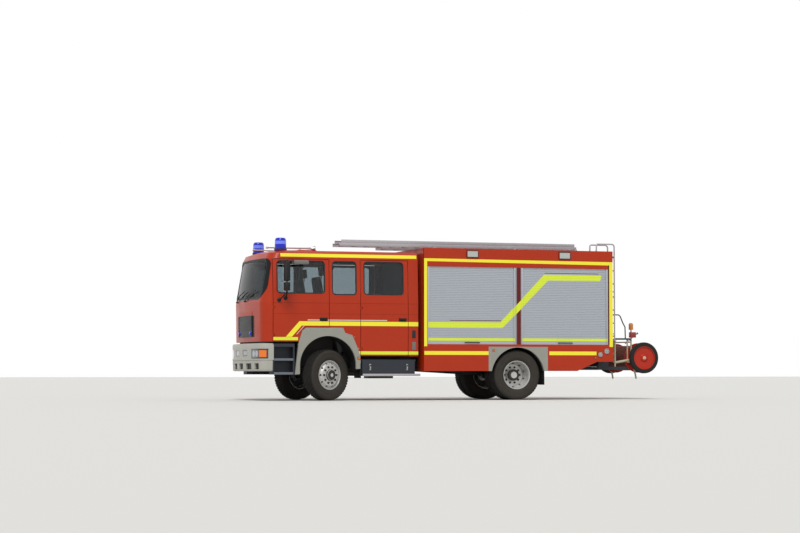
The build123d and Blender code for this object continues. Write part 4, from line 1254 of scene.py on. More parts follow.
@dataclass
class Fittings:
    """Small hard pieces on the skin: latches, vents, markers, treads, frames, ribs and screws."""

    cab_side: float = 1150
    body_side: float = 1250
    latch_side: float = 1146
    latch_stations: Pair = (-905, -1707)
    # Bars of the cab's rear vents: count, height of the first, pitch, bar
    louvres: tuple = (7, 1296, 20, 9.0)
    # Side markers: station, height, width of the face behind, half length
    marker_places: tuple = (
        (-658, 868, 1162, 26), (-3591, 1035, 1246, 20), (-5905, 884, 1250, 18),
    )
    marker_rim: float = 6.0
    # Steps: height, stations, widths
    steps: tuple = (
        (580, (744, 1136), (970, 1140)), (860, (744, 1136), (970, 1140)),
        (547, (-1770, -760), (1128, 1156)),
    )
    tread_pitch: float = 28
    # Half length and half width of a tread's lozenge, in metres
    tread_size: Pair = (0.011, 0.0035)
    scene_lamps: Pairs = ((-3000, -3230), (-5085, -5322))
    # Heights between a lamp frame's bars, and the bars' width
    lamp_heights: Pair = (2985, 3105)
    lamp_bar: float = 14
    # Roof ribs: count, station of the first, pitch, height
    ribs: tuple = (27, -2160, 150, 2945)
    # Half width and half length of a rib, in metres
    rib_size: Pair = (0.012, 1.19)
    # Stations and heights of the screws on the front arches
    arch_screws: Pairs = (
        (640, 1140), (645, 960), (660, 780), (-560, 1300), (-650, 1060), (420, 1440),
        (180, 1440), (-60, 1440), (-270, 1440),
    )
    arch_side: float = 1162
    # Screws of the rear arches: stations, side, count, height of the first, pitch
    rear_screw_stations: Pair = (-3520, -4775)
    rear_screws: tuple = (1246, 9, 640, 50)
    # Middle of the steering wheel, the way its face looks, and the seam's radius in metres
    steering_middle: Triple = (782, 640, 2019.6)
    steering_look: Triple = (-0.88, 0.0, 0.47)
    seam: float = 0.209

    def build(self) -> None:
        """Make all the fittings."""
        self.latches()
        self.vents()
        self.markers()
        self.treads()
        self.lamp_frames()
        self.front_gaskets()
        self.deck()
        self.screws()
        self.steering_seam()

    def latches(self) -> None:
        """Two bright pull latches on each locker lid."""
        for side, hand in SIDES:
            form = Shape()
            for x in self.latch_stations:
                face = side * self.latch_side
                form.box((x - 19, x + 19), (face, face + side * 6), (622, 748), 2)
                form.box((x - 12, x + 12), (face + side * 18, face + side * 26), (640, 700), 3)
            form.piece(f"lid_latches_{hand}", BRIGHT_STEEL, f"lid_{hand}", "dark_grey_steel")

    def vents(self) -> None:
        """The louvred vent and the cover under it, near the cab's rear."""
        louvre = Shape()
        cover = Shape()
        count, low, pitch, bar = self.louvres
        for side, _ in SIDES:
            y = side * self.cab_side
            louvre.box((-1815, -1893), (y, y + side * 5), (1283, 1445), 3)
            for k in range(count):
                z = low + k * pitch
                louvre.box((-1822, -1886), (y + side * 4, y + side * 10), (z, z + bar), 2)
            cover.box((-1818, -1902), (y, y + side * 4), (1040, 1205), 2)
        louvre.piece("cab_rear_vents", DARK_TRIM, "chassis", "black_plastic")
        cover.piece("cab_rear_covers", GREY_PLASTIC, "chassis", "grey_paint")

    def markers(self) -> None:
        """Amber side markers on the arches and the skirts, on dark bases."""
        lens = Shape()
        base = Shape()
        for side, _ in SIDES:
            for x, z, y, half in self.marker_places:
                face = side * y
                tall = half * 0.8
                wide, high = half + self.marker_rim, tall + self.marker_rim
                base.box((x + wide, x - wide), (face, face + side * 5), (z - high, z + high), 2)
                lens.box((x + half, x - half), (face + side * 4, face + side * 14),
                         (z - tall, z + tall), 4)
        lens.piece("side_marker_lenses", AMBER_LENS, "chassis", "tail_lens")
        base.piece("side_marker_bases", DARK_TRIM, "chassis", "black_plastic")

    def treads(self) -> None:
        """Raised treads on the entry steps and on the locker steps, turned by turns."""
        long, wide = self.tread_size
        raised = Shape()
        raised.rows([
            [Vector((long * x * k, wide * y * k, z)) for x, y, _ in circle(1.0, 10, 0.0)]
            for k, z in ((1.0, 0.0), (0.6, 0.0022))
        ], closed=False)
        pitch = self.tread_pitch
        places = []
        for side, _ in SIDES:
            for z, xs, ys in self.steps:
                for i in range(int((xs[1] - xs[0]) / pitch)):
                    for j in range(int((ys[1] - ys[0]) / pitch)):
                        x, y = xs[0] + pitch * (i + 0.5), ys[0] + pitch * (j + 0.5)
                        angle = math.radians(45 if (i + j) % 2 else -45)
                        places.append(
                            Matrix.Translation(spot(x, side * y, z))
                            @ Matrix.Rotation(angle, 4, "Z")
                        )
        REPEATER.place("step_treads", raised, places, BRIGHT_STEEL, "chassis", "dark_grey_steel")

    def lamp_frames(self) -> None:
        """Black frames round the scene lamps."""
        form = Shape()
        low, high = self.lamp_heights
        bar = self.lamp_bar
        for side, _ in SIDES:
            face = side * self.body_side
            for front, rear in self.scene_lamps:
                whole = (front + bar, rear - bar)
                for xs, zs in ((whole, (high, high + 15)), (whole, (low - 15, low)),
                               ((front + bar, front), (low, high)),
                               ((rear, rear - bar), (low, high))):
                    form.box(xs, (face, face + side * 26), zs, 3)
        form.piece("scene_lamp_frames", DARK_TRIM, "chassis", "black_plastic")

    def front_gaskets(self) -> None:
        """Rubber strips down the front edges of the body."""
        form = Shape()
        for side, _ in SIDES:
            form.box((-2043, -2040), (side * 1245, side * 1205), (1120, 3150), 1)
        form.piece("body_front_gaskets", SEAL_RUBBER, "chassis", "black_plastic")

    def deck(self) -> None:
        """Cross ribs of the roof deck."""
        half, length = self.rib_size
        rib = Shape()
        rib.rows([
            [Vector((x * k, y, z)) for x, y in
             ((-half, -length), (half, -length), (half, length), (-half, length))]
            for k, z in ((1.0, 0.0), (0.7, 0.006))
        ], closed=False)
        count, front, pitch, height = self.ribs
        places = [Matrix.Translation(spot(front - pitch * k, 0, height)) for k in range(count)]
        REPEATER.place("roof_deck_ribs", rib, places, MILL_ALUMINIUM, "chassis", "ladder_aluminium")

    def screws(self) -> None:
        """Round-headed screws along the front and rear arches."""
        head = Shape()
        head.rows(
            [circle(r, 12, z) for r, z in ((0.009, 0.0), (0.008, 0.003), (0.004, 0.005))],
            closed=False,
        )
        rear_side, count, low, pitch = self.rear_screws
        places = []
        for side, _ in SIDES:
            spots = [spot(x, side * self.arch_side, z) for x, z in self.arch_screws]
            spots += [
                spot(x, side * rear_side, low + pitch * k)
                for k in range(count) for x in self.rear_screw_stations
            ]
            places += [facing(place, ASIDE * side, AHEAD) for place in spots]
        REPEATER.place("panel_screws", head, places, BRIGHT_STEEL, "chassis", "grey_paint")

    def steering_seam(self) -> None:
        """The stitched cover's seam round the steering wheel's rim."""
        middle = spot(*self.steering_middle)
        out = Vector(self.steering_look).normalized()
        up = out.cross(ASIDE)
        form = Shape()
        turns = [FULL_TURN * k / 90 for k in range(91)]
        form.cable([
            middle + (ASIDE * math.cos(t) + up * math.sin(t)) * self.seam for t in turns
        ], 0.0016, 6)
        form.piece("steering_wheel_stitching", GREY_PLASTIC, "chassis", "black_plastic")


@dataclass(frozen=True)
class Plan:
    """A bowed front with rounded corners, seen from above, in millimetres."""

    front: float
    half: float
    bow: float
    corner: float

    def point(self, y: float) -> Triple:
        """Where the outline passes a width.

        Args:
            y: Distance from the middle plane, signed.

        Returns:
            The station and the outward direction there as (ahead, aside).
        """
        radius = (self.half ** 2 + self.bow ** 2) / (2 * self.bow)
        hub = self.front - radius
        side = math.copysign(1.0, y)
        inner = self.half - self.corner
        if abs(y) <= inner * radius / (radius - self.corner):
            x = hub + math.sqrt(radius ** 2 - y ** 2)
            return x, (x - hub) / radius, y / radius
        centre = hub + math.sqrt((radius - self.corner) ** 2 - inner ** 2)
        across = min(abs(y) - inner, self.corner)
        ahead = math.sqrt(max(self.corner ** 2 - across ** 2, 0.0))
        return centre + ahead, ahead / self.corner, side * across / self.corner


# How far the cab's front is bowed, and the radius of its corners
CAB_BOW = 90
CAB_CORNER = 250
# Cab sections as the drawings give them: height, foremost station, half width
CAB_SECTIONS = (
    (910, 1440, 1150), (2000, 1455, 1150), (2890, 1318, 1108),
    (3010, 1262, 1085), (3062, 1110, 1000),
)


def cab_plan(z: float) -> Plan:
    """The cab's outline at a height in millimetres."""
    for (z0, x0, h0), (z1, x1, h1) in zip(CAB_SECTIONS, CAB_SECTIONS[1:]):
        if z <= z1:
            t = (z - z0) / (z1 - z0)
            return Plan(x0 + (x1 - x0) * t, h0 + (h1 - h0) * t, CAB_BOW, CAB_CORNER)
    return Plan(*CAB_SECTIONS[-1][1:], CAB_BOW, CAB_CORNER)


def on_cab(y: float, z: float, off: float) -> Vector:
    """A point off the cab's front skin, from width, height and distance in millimetres."""
    x, ahead, aside = cab_plan(z).point(y)
    return Vector((at(x + ahead * off), (y + aside * off) * MM, z * MM))


@dataclass
class CabFront:
    """The printed border of the wrap-round windscreen, the grille and its flashers.

    An outline is a half width, its foot and top, and the radii of its
    lower and upper corners.
    """

    opening: tuple[float, ...] = (985, 2085, 2890, 170, 170)
    edge: tuple[float, ...] = (1092, 2060, 2896, 300, 120)
    # Outlines wider than this lean in with the cab above a height, by a share of the rise
    wide: float = 1000
    lean_from: float = 2000
    lean: float = 0.045
    # Rays round the border, crowded towards the sides by the pane's flat shape
    rays: int = 240
    flatness: float = 0.42
    grille_half: float = 520
    grille_heights: Pair = (1300, 1820)
    # Raised rim of the grille: its width and the height of the upper bar's foot
    rim: float = 16
    rim_top: float = 1720
    # Louvres: count, half width, height of the first, pitch, bar
    louvres: tuple = (5, 480, 1450, 52, 26)
    flasher: Pair = (440, 1378)

    def build(self) -> None:
        """Make the pieces on the cab's front."""
        self.border()
        self.grille()
        self.gap_panel()

    def outline(
        self, angle: float, half: float, low: float, high: float, lower: float, upper: float
    ) -> Pair:
        """Where a ray from the middle of the pane meets a rounded outline."""
        middle = (low + high) / 2

        def outside(reach: float) -> bool:
            """Whether the ray has left the outline at this reach."""
            y, z = abs(reach * math.cos(angle)), middle + reach * math.sin(angle)
            side = half
            if half > self.wide:
                side -= max(z - self.lean_from, 0) * self.lean
            radius = lower if z < middle else upper
            dy, dz = y - (side - radius), abs(z - middle) - ((high - low) / 2 - radius)
            if dy > 0 and dz > 0:
                return math.hypot(dy, dz) > radius
            return dy > radius or dz > radius

        near, far = 0.0, 2000
        for _ in range(40):
            reach = (near + far) / 2
            near, far = (near, reach) if outside(reach) else (reach, far)
        return near * math.cos(angle), middle + near * math.sin(angle)

    def border(self) -> None:
        """Print the border round the pane, over the corners of the cab."""
        form = Shape()
        rows = []
        for k in range(self.rays):
            t = FULL_TURN * k / self.rays
            angle = math.atan2(math.sin(t) * self.flatness, math.cos(t))
            inner = Vector(self.outline(angle, *self.opening))
            outer = Vector(self.outline(angle, *self.edge))
            places = [inner.lerp(outer, f) for f in (0.0, 0.0, 0.35, 0.7, 1.0, 1.0)]
            rows.append([
                on_cab(*place, off) for place, off in zip(places, (1.0, 5.0, 5.0, 5.0, 5.0, 0.5))
            ])
        form.rows(rows)
        form.piece("windscreen_border", BLACK_PRINT, "chassis", "black_plastic")

    def band(self, form: Shape, ys: Pair, zs: Pair, offs: Pair) -> None:
        """Lay a band on the cab's front skin."""
        rows = []
        for k in range(25):
            y = ys[0] + (ys[1] - ys[0]) * k / 24
            rows.append([
                on_cab(y, zs[0], offs[0]), on_cab(y, zs[0], offs[1]), on_cab(y, zs[1], offs[1]),
                on_cab(y, zs[1], offs[0]),
            ])
        form.rows(rows, closed=False)

    def grille(self) -> None:
        """The black grille panel with its louvres and the two blue flashers."""
        panel = Shape()
        half, rim = self.grille_half, self.rim
        low = self.grille_heights[0]
        self.band(panel, (-half, half), self.grille_heights, (0.5, 6.0))
        for z in (low, self.rim_top):
            self.band(panel, (-half, half), (z, z + rim), (6.0, 18))
        for y in (-half, half - rim):
            self.band(panel, (y, y + rim), (low + rim, self.rim_top), (6.0, 18))
        count, wide, first, pitch, bar = self.louvres
        for k in range(count):
            z = first + pitch * k
            self.band(panel, (-wide, wide), (z, z + bar), (6.0, 16))
        panel.piece(
            "grille_panel", GRILLE_BLACK, "chassis", "black_plastic", "grille", smooth=False
        )
        lens = Shape()
        for side, _ in SIDES:
            y, z = self.flasher
            lens.lathe([(0.0, 0.002), (0.0, 0.044), (0.012, 0.042), (0.026, 0.03), (0.030, 0.002)],
                       on_cab(side * y, z, 6), AHEAD, 32)
        lens.piece("front_flashers", BLUE_LENS, "chassis", "blue_lens")

    def gap_panel(self) -> None:
        """The dark panels behind the gap between the bumper and the cab."""
        form = Shape()
        form.box((1187, 1290), (-1000, 1000), (1120, 1214), 2)
        form.box((1187, 1400), (-1020, 1020), (1128, 1146), 2)
        form.piece("front_gap_panel", DARK_TRIM, "chassis", "black_plastic")


@dataclass
class Bumper:
    """The bowed bumper with sunk lamps and air slots, and the lamps in it."""

    plan: Plan = Plan(1535, 1150, 110, 200)
    rear: float = 1150
    # How far in from the face the shell's back is
    back: float = 85
    # The sunk fields end at this station on the sides
    field_end: float = 1271
    # A field's wall runs over this to either side of its edge
    wall: float = 0.6
    # What lies in a field stays this far inside it
    clear: float = 0.2
    # Sunk fields: widths, heights, depth
    headlamp: tuple = ((690, 1200), (857, 1055), 46)
    fog_lamp: tuple = ((150, 450), (909, 1037), 30)
    slot_widths: Pairs = ((-1.0, 145), (350, 670), (850, 1035))
    slot_heights: Pair = (641, 761)
    slot_depth: float = 60
    # Section: height, inset
    section: Pairs = (
        (600, 60), (605, 22), (635, 10), (813, 4.0), (817, 10), (822, 10),
        (826, 0.0), (1130, 0.0), (1158, 8.0), (1167, 24),
    )
    slot_bars: tuple[float, ...] = (660, 700, 740)
    bar: float = 8.0

    @property
    def fields(self) -> tuple:
        """All the sunk fields."""
        slots = [(widths, self.slot_heights, self.slot_depth) for widths in self.slot_widths]
        return (self.headlamp, self.fog_lamp, *slots)

    def build(self) -> None:
        """Make the shell and the lamps."""
        self.shell()
        self.lamps()
        self.slot_grilles()

    def path(self) -> list[Four]:
        """The plan as stations, widths and outward directions, left rear to right rear."""
        half, corner = self.plan.half, self.plan.corner
        widths = {0.0}
        for ys, _, _ in self.fields:
            for y in ys:
                if 0 < y < half - corner * 0.3:
                    widths |= {y - self.wall, y + self.wall}
        widths |= {40 * k for k in range(1, 24)}
        widths |= {half - corner + corner * math.sin(math.radians(a)) for a in range(12, 91, 6)}
        front = sorted(w for w in widths if w <= half)
        left = [(self.plan.point(w)[0], w, *self.plan.point(w)[1:]) for w in front]
        corner_x = left[-1][0]
        for x in (self.field_end + self.wall, self.field_end - self.wall, self.rear):
            if self.rear <= x < corner_x:
                left.append((x, half, 0.0, 1.0))
        return left[::-1] + [(x, -y, a, -b) for x, y, a, b in left[1:]]

    def depth(self, x: float, y: float, z: float) -> float:
        """How far the face is sunk at a place."""
        for ys, zs, depth in self.fields:
            if ys[0] < abs(y) < ys[1] and zs[0] < z < zs[1] and x > self.field_end:
                return depth
        return 0.0

    def inset(self, z: float) -> float:
        """The section's own inset at a height."""
        for (z0, a), (z1, b) in zip(self.section, self.section[1:]):
            if z <= z1:
                return a + (b - a) * (z - z0) / (z1 - z0)
        return self.section[-1][1]

    def shell(self) -> None:
        """Skin the shell over its path, with walls down into every field."""
        heights = {z for z, _ in self.section}
        for _, zs, _ in self.fields:
            for z in zs:
                heights |= {z - self.wall, z + self.wall}
        levels = sorted(heights)
        rows = []
        for x, y, ahead, aside in self.path():
            offs = [(z, self.inset(z) + self.depth(x, y, z)) for z in levels]
            offs += [(z, self.back) for z in (levels[-1], levels[0])]
            rows.append([spot(x - ahead * off, y - aside * off, z) for z, off in offs])
        form = Shape()
        form.rows(rows, closed=False)
        form.piece("bumper_shell", BUMPER_GREY, "chassis", "grey_paint", "bumper")

    def strip(
        self, form: Shape, wanted: Callable[[float, float], bool], zs: Pair, offs: Pair
    ) -> None:
        """Lay a strip along the stretches of the path that are wanted.

        Args:
            form: The shape that takes the strip.
            wanted: Tells from a station and a width whether the strip is there.
            zs: The strip's heights.
            offs: How far in from the face its outer and inner side are.
        """
        section = ((zs[0], offs[1]), (zs[0], offs[0]), (zs[1], offs[0]), (zs[1], offs[1]))
        run = []
        for place in [*self.path(), None]:
            if place is not None and wanted(place[0], place[1]):
                run.append(place)
                continue
            if len(run) > 1:
                form.rows([
                    [spot(x - a * off, y - b * off, z) for z, off in section]
                    for x, y, a, b in run
                ], closed=False)
            run = []

    def within(self, side: int, widths: Pair) -> Callable[[float, float], bool]:
        """A test whether a station and a width of the path lie in a field on one side."""
        low, high = widths
        return lambda x, y: (
            low + self.clear < y * side < high - self.clear and x > self.field_end + self.clear
        )

    def lamps(self) -> None:
        """The headlamps round the corners and the fog lamps."""
        form = Shape()
        for side, _ in SIDES:
            self.strip(form, self.within(side, self.headlamp[0]), (860, 1052), (5, 50))
            self.strip(form, self.within(side, self.fog_lamp[0]), (912, 1034), (6, 34))
        form.piece("bumper_lamps", LAMP_LENS, "chassis", "lamp_lens", "headlamps")

    def slot_grilles(self) -> None:
        """Black bars that close the air slots."""
        form = Shape()
        for side, _ in SIDES:
            for widths in self.slot_widths:
                inside = self.within(side, widths)
                self.strip(form, inside, (642, 760), (52, 60))
                for z in self.slot_bars:
                    self.strip(form, inside, (z, z + self.bar), (36, 54))
        form.piece("bumper_slot_grilles", DARK_TRIM, "chassis", "black_plastic")


@dataclass
class Mirrors:
    """The mirror heads, their arms and the kerb mirror on each front door."""

    # Heights of the main and the wide-angle head, and their stations and widths
    heads: Pairs = ((2420, 2810), (2225, 2395))
    head_stations: Pair = (900, 990)
    head_widths: Pair = (1285, 1505)
    # Station and width of the post in the heads
    post: Pair = (945, 1395)
    # Lower arms: station and height of the foot on the door, then of the upper end
    arms: tuple = (
        (1040, 2045, 945, 2205), (905, 2085, 945, 2235),
    )
    door: float = 1150

    def build(self) -> None:
        """Make both sides."""
        for side, hand in SIDES:
            x, y = self.post[0], side * self.post[1]
            form = Shape()
            for heights in self.heads:
                form.box(self.head_stations, tuple(side * w for w in self.head_widths), heights, 26)
            form.cable([spot(x, y, z) for z in (2195, 2250, 2410, 2850)], 0.013)
            for foot_x, foot_z, top_x, top_z in self.arms:
                foot = spot(foot_x, side * self.door, foot_z)
                form.lathe([(0, 0.002), (0, 0.042), (0.018, 0.040), (0.03, 0.02), (0.03, 0.002)],
                           foot, ASIDE * side, 32)
                bend = spot((foot_x + top_x) / 2, side * 1320, (foot_z + top_z) / 2)
                form.cable([foot + ASIDE * side * 0.02, bend, spot(top_x, y, top_z)], 0.014)
            form.cable([spot(x, y, 2815), spot(720, side * 1330, 2840),
                        spot(700, side * self.door, 2850)], 0.011)
            form.piece(
                f"mirror_heads_{hand}", BLACK_PLASTIC, f"door_front_{hand}", "black_plastic",
                f"mirror_{hand}",
            )
            kerb = Shape()
            kerb.box((470, 790), (side * 1180, side * 1370), (2765, 2850), 30)
            kerb.piece(f"kerb_mirror_{hand}", GREY_PLASTIC, f"door_front_{hand}", "black_plastic")


@dataclass
class RoofGear:
    """The beacons, horns, hatch and ladders on the roofs, and the ladder up the rear wall."""

    # Station and width of the beacons, and of the horns' thin ends
    beacon: Pair = (930, 850)
    horn: Pair = (1150, 520)
    horn_post: float = 750
    horn_height: float = 3140
    cab_roof: float = 3062
    # Ladders: node, stations of the lower and the upper section, middle of the width
    stacks: tuple = (
        ("left_ladder", ((-330, -5650), (-372, -5606)), 620),
        ("right_ladder", ((-1570, -5950), (-1612, -5906)), -280),
    )
    # Foot and height of the rails of the lower and the upper section
    layers: Pairs = ((3186, 70), (3258, 60))
    rail_spread: float = 234
    flange: float = 7.0
    rung_pitch: float = 280
    # Rear ladder: widths of its rails, their station, and its rungs' count, foot and pitch
    rear_widths: Pair = (820, 1160)
    rear_station: float = -6400
    rear_rungs: tuple = (7, 1350, 280)
    bend: float = 60
    bend_height: float = 3254

    def build(self) -> None:
        """Make everything that stands on the roofs."""
        self.beacons()
        self.horns()
        self.hatch()
        self.ladders()
        self.rear_rails()

    def beacons(self) -> None:
        """Two hooded beacons on round bases."""
        x, y = self.beacon
        form = Shape()
        for side, _ in SIDES:
            form.lathe(
                [(0.0, 0.002), (0.0, 0.130), (0.040, 0.130), (0.048, 0.124), (0.049, 0.118),
                 (0.09, 0.118), (0.20, 0.116), (0.240, 0.108), (0.262, 0.088), (0.268, 0.002)],
                spot(x, side * y, self.cab_roof), UP, 48,
            )
        form.piece("beacon_hoods", BLUE_LENS, "chassis", "blue_lens", "beacons")

    def horns(self) -> None:
        """Two long trumpets on posts."""
        x, y = self.horn
        form = Shape()
        for side, _ in SIDES:
            form.lathe(
                [(0.0, 0.002), (0.0, 0.020), (0.05, 0.022), (0.06, 0.014), (0.85, 0.018),
                 (0.97, 0.026), (1.02, 0.042), (1.05, 0.060), (1.05, 0.055), (1.01, 0.02),
                 (1.0, 0.002)], spot(x, side * y, self.horn_height), -AHEAD, 32,
            )
            form.cable(
                [spot(self.horn_post, side * y, z) for z in (self.cab_roof, self.horn_height)],
                0.012,
            )
        form.piece("horn_trumpets", CHROME, "chassis", "black_plastic", "air_horns")

    def hatch(self) -> None:
        """A low ventilation hatch in the cab's roof."""
        form = Shape()
        form.box((357, -43), (-200, 200), (3060, 3128), 22)
        form.piece("roof_hatch", SIGNAL_RED, "chassis", "red_paint")

    def ladders(self) -> None:
        """Two stacks of ladder sections: rails with flanges, and round rungs."""
        rung = Shape()
        rung.rows([
            [Vector((0.015 * x, y, 0.015 * z)) for x, z, _ in circle(1.0, 10, 0.0)]
            for y in (-0.222, 0.222)
        ], closed=False)
        pitch = self.rung_pitch
        for node, spans, middle in self.stacks:
            rails = Shape()
            rungs = []
            for span, (low, height) in zip(spans, self.layers):
                for edge in (-1, 1):
                    y = middle + edge * self.rail_spread
                    rails.box(span, (y - 6, y + 6), (low, low + height), 1.5)
                    for z in (low, low + height - self.flange):
                        rails.box(span, (y, y - edge * 22), (z, z + self.flange), 1.5)
                front, rear = span
                rungs += [
                    Matrix.Translation(spot(front - pitch * (k + 0.5), middle, low + height / 2))
                    for k in range(int((front - rear) / pitch))
                ]
            rails.piece(node + "_rails", MILL_ALUMINIUM, "chassis", "ladder_aluminium", node)
            REPEATER.place(node + "_rungs", rung, rungs, MILL_ALUMINIUM, "chassis",
                           "ladder_aluminium", node)

    def rear_rails(self) -> None:
        """The ladder up the rear wall, its rails bent over onto the roof."""
        wall = self.rear_station
        form = Shape()
        for y in self.rear_widths:
            bent = [
                spot(wall + self.bend * (1 - math.cos(a)), y,
                     self.bend_height + self.bend * math.sin(a))
                for a in (math.pi / 2 * k / 6 for k in range(7))
            ]
            form.cable([spot(wall, y, 1250), *bent, spot(-6010, y, 3314), spot(-5985, y, 3300),
                        spot(-5980, y, 3150)], 0.0155, 12)
            for z in (1400, 2300, 3050):
                form.cable([spot(-6318, y, z), spot(wall, y, z)], 0.014)
        count, low, pitch = self.rear_rungs
        for k in range(count):
            form.cable([spot(wall, y, low + pitch * k) for y in self.rear_widths], 0.013)
        form.piece("rear_ladder", MILL_ALUMINIUM, "chassis", "ladder_aluminium", "access_ladder")


@dataclass
class Shutters:
    """Roller shutters of hooked slats, with bottom bars, guides and bar handles."""

    bays: Pairs = ((-2122, -4096), (-4219, -6213))
    pitch: float = 36
    low: float = 1162
    high: float = 2774
    # Width of the side slats' face, station of the rear ones', and their half width in metres
    face: float = 1228
    rear_face: float = -6298
    rear_half: float = 0.699
    # Width and height of the bar handles
    handle: Pair = (1262, 1196)

    def slats(self, face: float) -> list[Pair]:
        """The slatted section as widths and heights, from the bottom bar up."""
        section = [(face - 10, self.low), (face + 6, self.low), (face + 6, self.low + 58),
                   (face, self.low + 62)]
        z = self.low + 66
        while z + self.pitch < self.high:
            section += [(face - 5, z), (face - 0.5, z + 5), (face, z + 18), (face - 0.5, z + 31),
                        (face - 5, z + self.pitch - 1)]
            z += self.pitch
        return section + [(face - 5, self.high), (face - 10, self.high)]

    def build(self) -> None:
        """Make the side shutters and the rear one."""
        form = Shape()
        for side, _ in SIDES:
            for front, rear in self.bays:
                section = self.slats(self.face)
                form.rows([
                    [spot(x, side * y, z) for y, z in section] for x in (front - 1, rear + 1)
                ], closed=False)
                for x in (front - 1, rear + 41):
                    form.box((x, x - 40), (side * 1226, side * 1244), (self.low, self.high), 2)
                middle = (front + rear) / 2
                y, z = self.handle
                form.cable([spot(middle + e, side * y, z) for e in (165, -165)], 0.011)
                for e in (150, -150):
                    form.cable([spot(middle + e, side * w, z) for w in (y - 30, y)], 0.009)
        section = self.slats(self.rear_face)
        form.rows([
            [Vector((at(2 * self.rear_face - x), y, z * MM)) for x, z in section]
            for y in (-self.rear_half, self.rear_half)
        ], closed=False)
        form.piece("shutter_slats", ANODISED, "chassis", "shutter_aluminium", "shutters")


@dataclass
class Reel:
    """The hose reel's drum, and the tubes, markers and lever on its frame."""

    axle: Triple = (-7225, 0.0, 890)
    frame_width: float = 600
    handle_width: float = 500
    lever_width: float = 300
    rear_post: float = -7047
    # Side frame, its inner strut and the handle: stations and heights
    side_frame: Pairs = (
        (-6640, 780), (-6640, 1270), (-6670, 1300), (-7017, 1300), (-7047, 1270), (-7047, 905),
        (-7150, 520), (-7165, 440),
    )
    strut: Pairs = ((-6958, 1300), (-6958, 800), (-7225, 800))
    handle: Pairs = (
        (-6960, 1290), (-6952, 1560), (-6900, 1650), (-6840, 1790), (-6805, 1822), (-6720, 1826),
    )
    cross_bars: Pairs = ((-6640, 1234), (-7047, 1234), (-6800, 1298))
    # Turns of hose on the drum: count, start and pitch in metres
    turns: tuple = (16, -0.556, 0.0695)

    def build(self) -> None:
        """Make the drum, the frame's tubes and the markers."""
        self.drum()
        self.tubes()
        self.markers()

    def drum(self) -> None:
        """Two dished flanges and the wound hose between them."""
        axle = spot(*self.axle)
        form = Shape()
        for side, _ in SIDES:
            form.lathe([(0.558, 0.03), (0.558, 0.300), (0.555, 0.312), (0.560, 0.3195),
                        (0.568, 0.3195), (0.573, 0.312), (0.570, 0.300), (0.568, 0.12),
                        (0.575, 0.09), (0.600, 0.06), (0.600, 0.03)], axle, ASIDE * side, 72)
        count, start, pitch = self.turns
        hose = [
            (start + pitch * k + d, r) for k in range(count)
            for d, r in ((0.004, 0.256), (0.020, 0.270), (0.050, 0.270), (0.066, 0.256))
        ]
        form.lathe([(start, 0.06), *hose, (-start, 0.06)], axle, ASIDE, 72)
        form.piece("reel_drum_turned", REEL_RED, "reel", "reel_red", "reel_drum")

    def tubes(self) -> None:
        """The side frames, struts, handle, cross bars and the lever."""
        form = Shape()
        for side, _ in SIDES:
            for path, y, radius in ((self.side_frame, self.frame_width, 0.019),
                                    (self.strut, self.frame_width, 0.017),
                                    (self.handle, self.handle_width, 0.013)):
                form.cable([spot(x, side * y, z) for x, z in path], radius)
        for x, z in self.cross_bars:
            form.cable([spot(x, side * self.frame_width, z) for side in (-1, 1)], 0.015)
        form.cable([spot(-6715, side * self.handle_width, 1826) for side in (-1, 1)], 0.015)
        for path, radius in ((((-7047, 1200), (-7344, 1430)), 0.009),
                             (((-7332, 1420), (-7352, 1436)), 0.02)):
            form.cable([spot(x, self.lever_width, z) for x, z in path], radius)
        form.piece("reel_frame_tubes", CREAM, "chassis", "cream_paint")

    def markers(self) -> None:
        """A box and a round marker lamp on each rear post."""
        form = Shape()
        for side, _ in SIDES:
            y = side * self.frame_width
            form.box((-7014, -7150), (y - 45, y + 45), (1330, 1450), 10)
            form.lathe([(0.0, 0.002), (0.0, 0.05), (0.12, 0.048), (0.145, 0.03), (0.15, 0.002)],
                       spot(self.rear_post, y, 1500), UP, 32)
            form.cable([spot(self.rear_post, y, z) for z in (1280, 1510)], 0.014)
        form.piece("reel_markers", RED_LENS, "chassis", "tail_lens")


@dataclass
class LowerBody:
    """Caps of the hose outlets, mud flaps and step edges along the lower sides."""

    # Outlets: station, height, radius in metres
    outlets: tuple[Triple, ...] = ((-6020, 956, 0.052), (-6170, 1027, 0.060))
    # Widths of the cap's seat and of its lugs, and the lugs on a cap
    seat: float = 1249.5
    lug_seat: float = 1262
    lugs: int = 3

    def build(self) -> None:
        """Make the caps, flaps and step edges."""
        caps = Shape()
        flaps = Shape()
        edge = Shape()
        for side, _ in SIDES:
            for x, z, r in self.outlets:
                caps.lathe(
                    [(0.0, 0.002), (0.0, r), (0.008, r), (0.018, r * 0.92), (0.018, r * 0.7),
                     (0.010, r * 0.66), (0.010, r * 0.4), (0.020, r * 0.36), (0.024, 0.002)],
                    spot(x, side * self.seat, z), ASIDE * side, 40,
                )
                for along, rise, _ in circle(r * 0.86, self.lugs, 0.0):
                    lug = spot(x, side * self.lug_seat, z) + AHEAD * along + UP * rise
                    caps.lathe([(0.0, 0.001), (0.0, 0.012), (0.016, 0.010), (0.018, 0.001)], lug,
                               ASIDE * side, 12)
            flaps.box((-4738, -4750), (side * 640, side * 1215), (316, 640), 3)
            flaps.box((-702, -714), (side * 700, side * 1130), (460, 760), 3)
            edge.box((-745, -1985), (side * 1128, side * 1168), (500, 549), 3)
        caps.piece("outlet_caps", BRIGHT_STEEL, "chassis", "wheel_silver")
        flaps.piece("mud_flaps", SEAL_RUBBER, "chassis", "black_plastic")
        edge.piece("locker_step_edges", MILL_ALUMINIUM, "chassis", "ladder_aluminium")


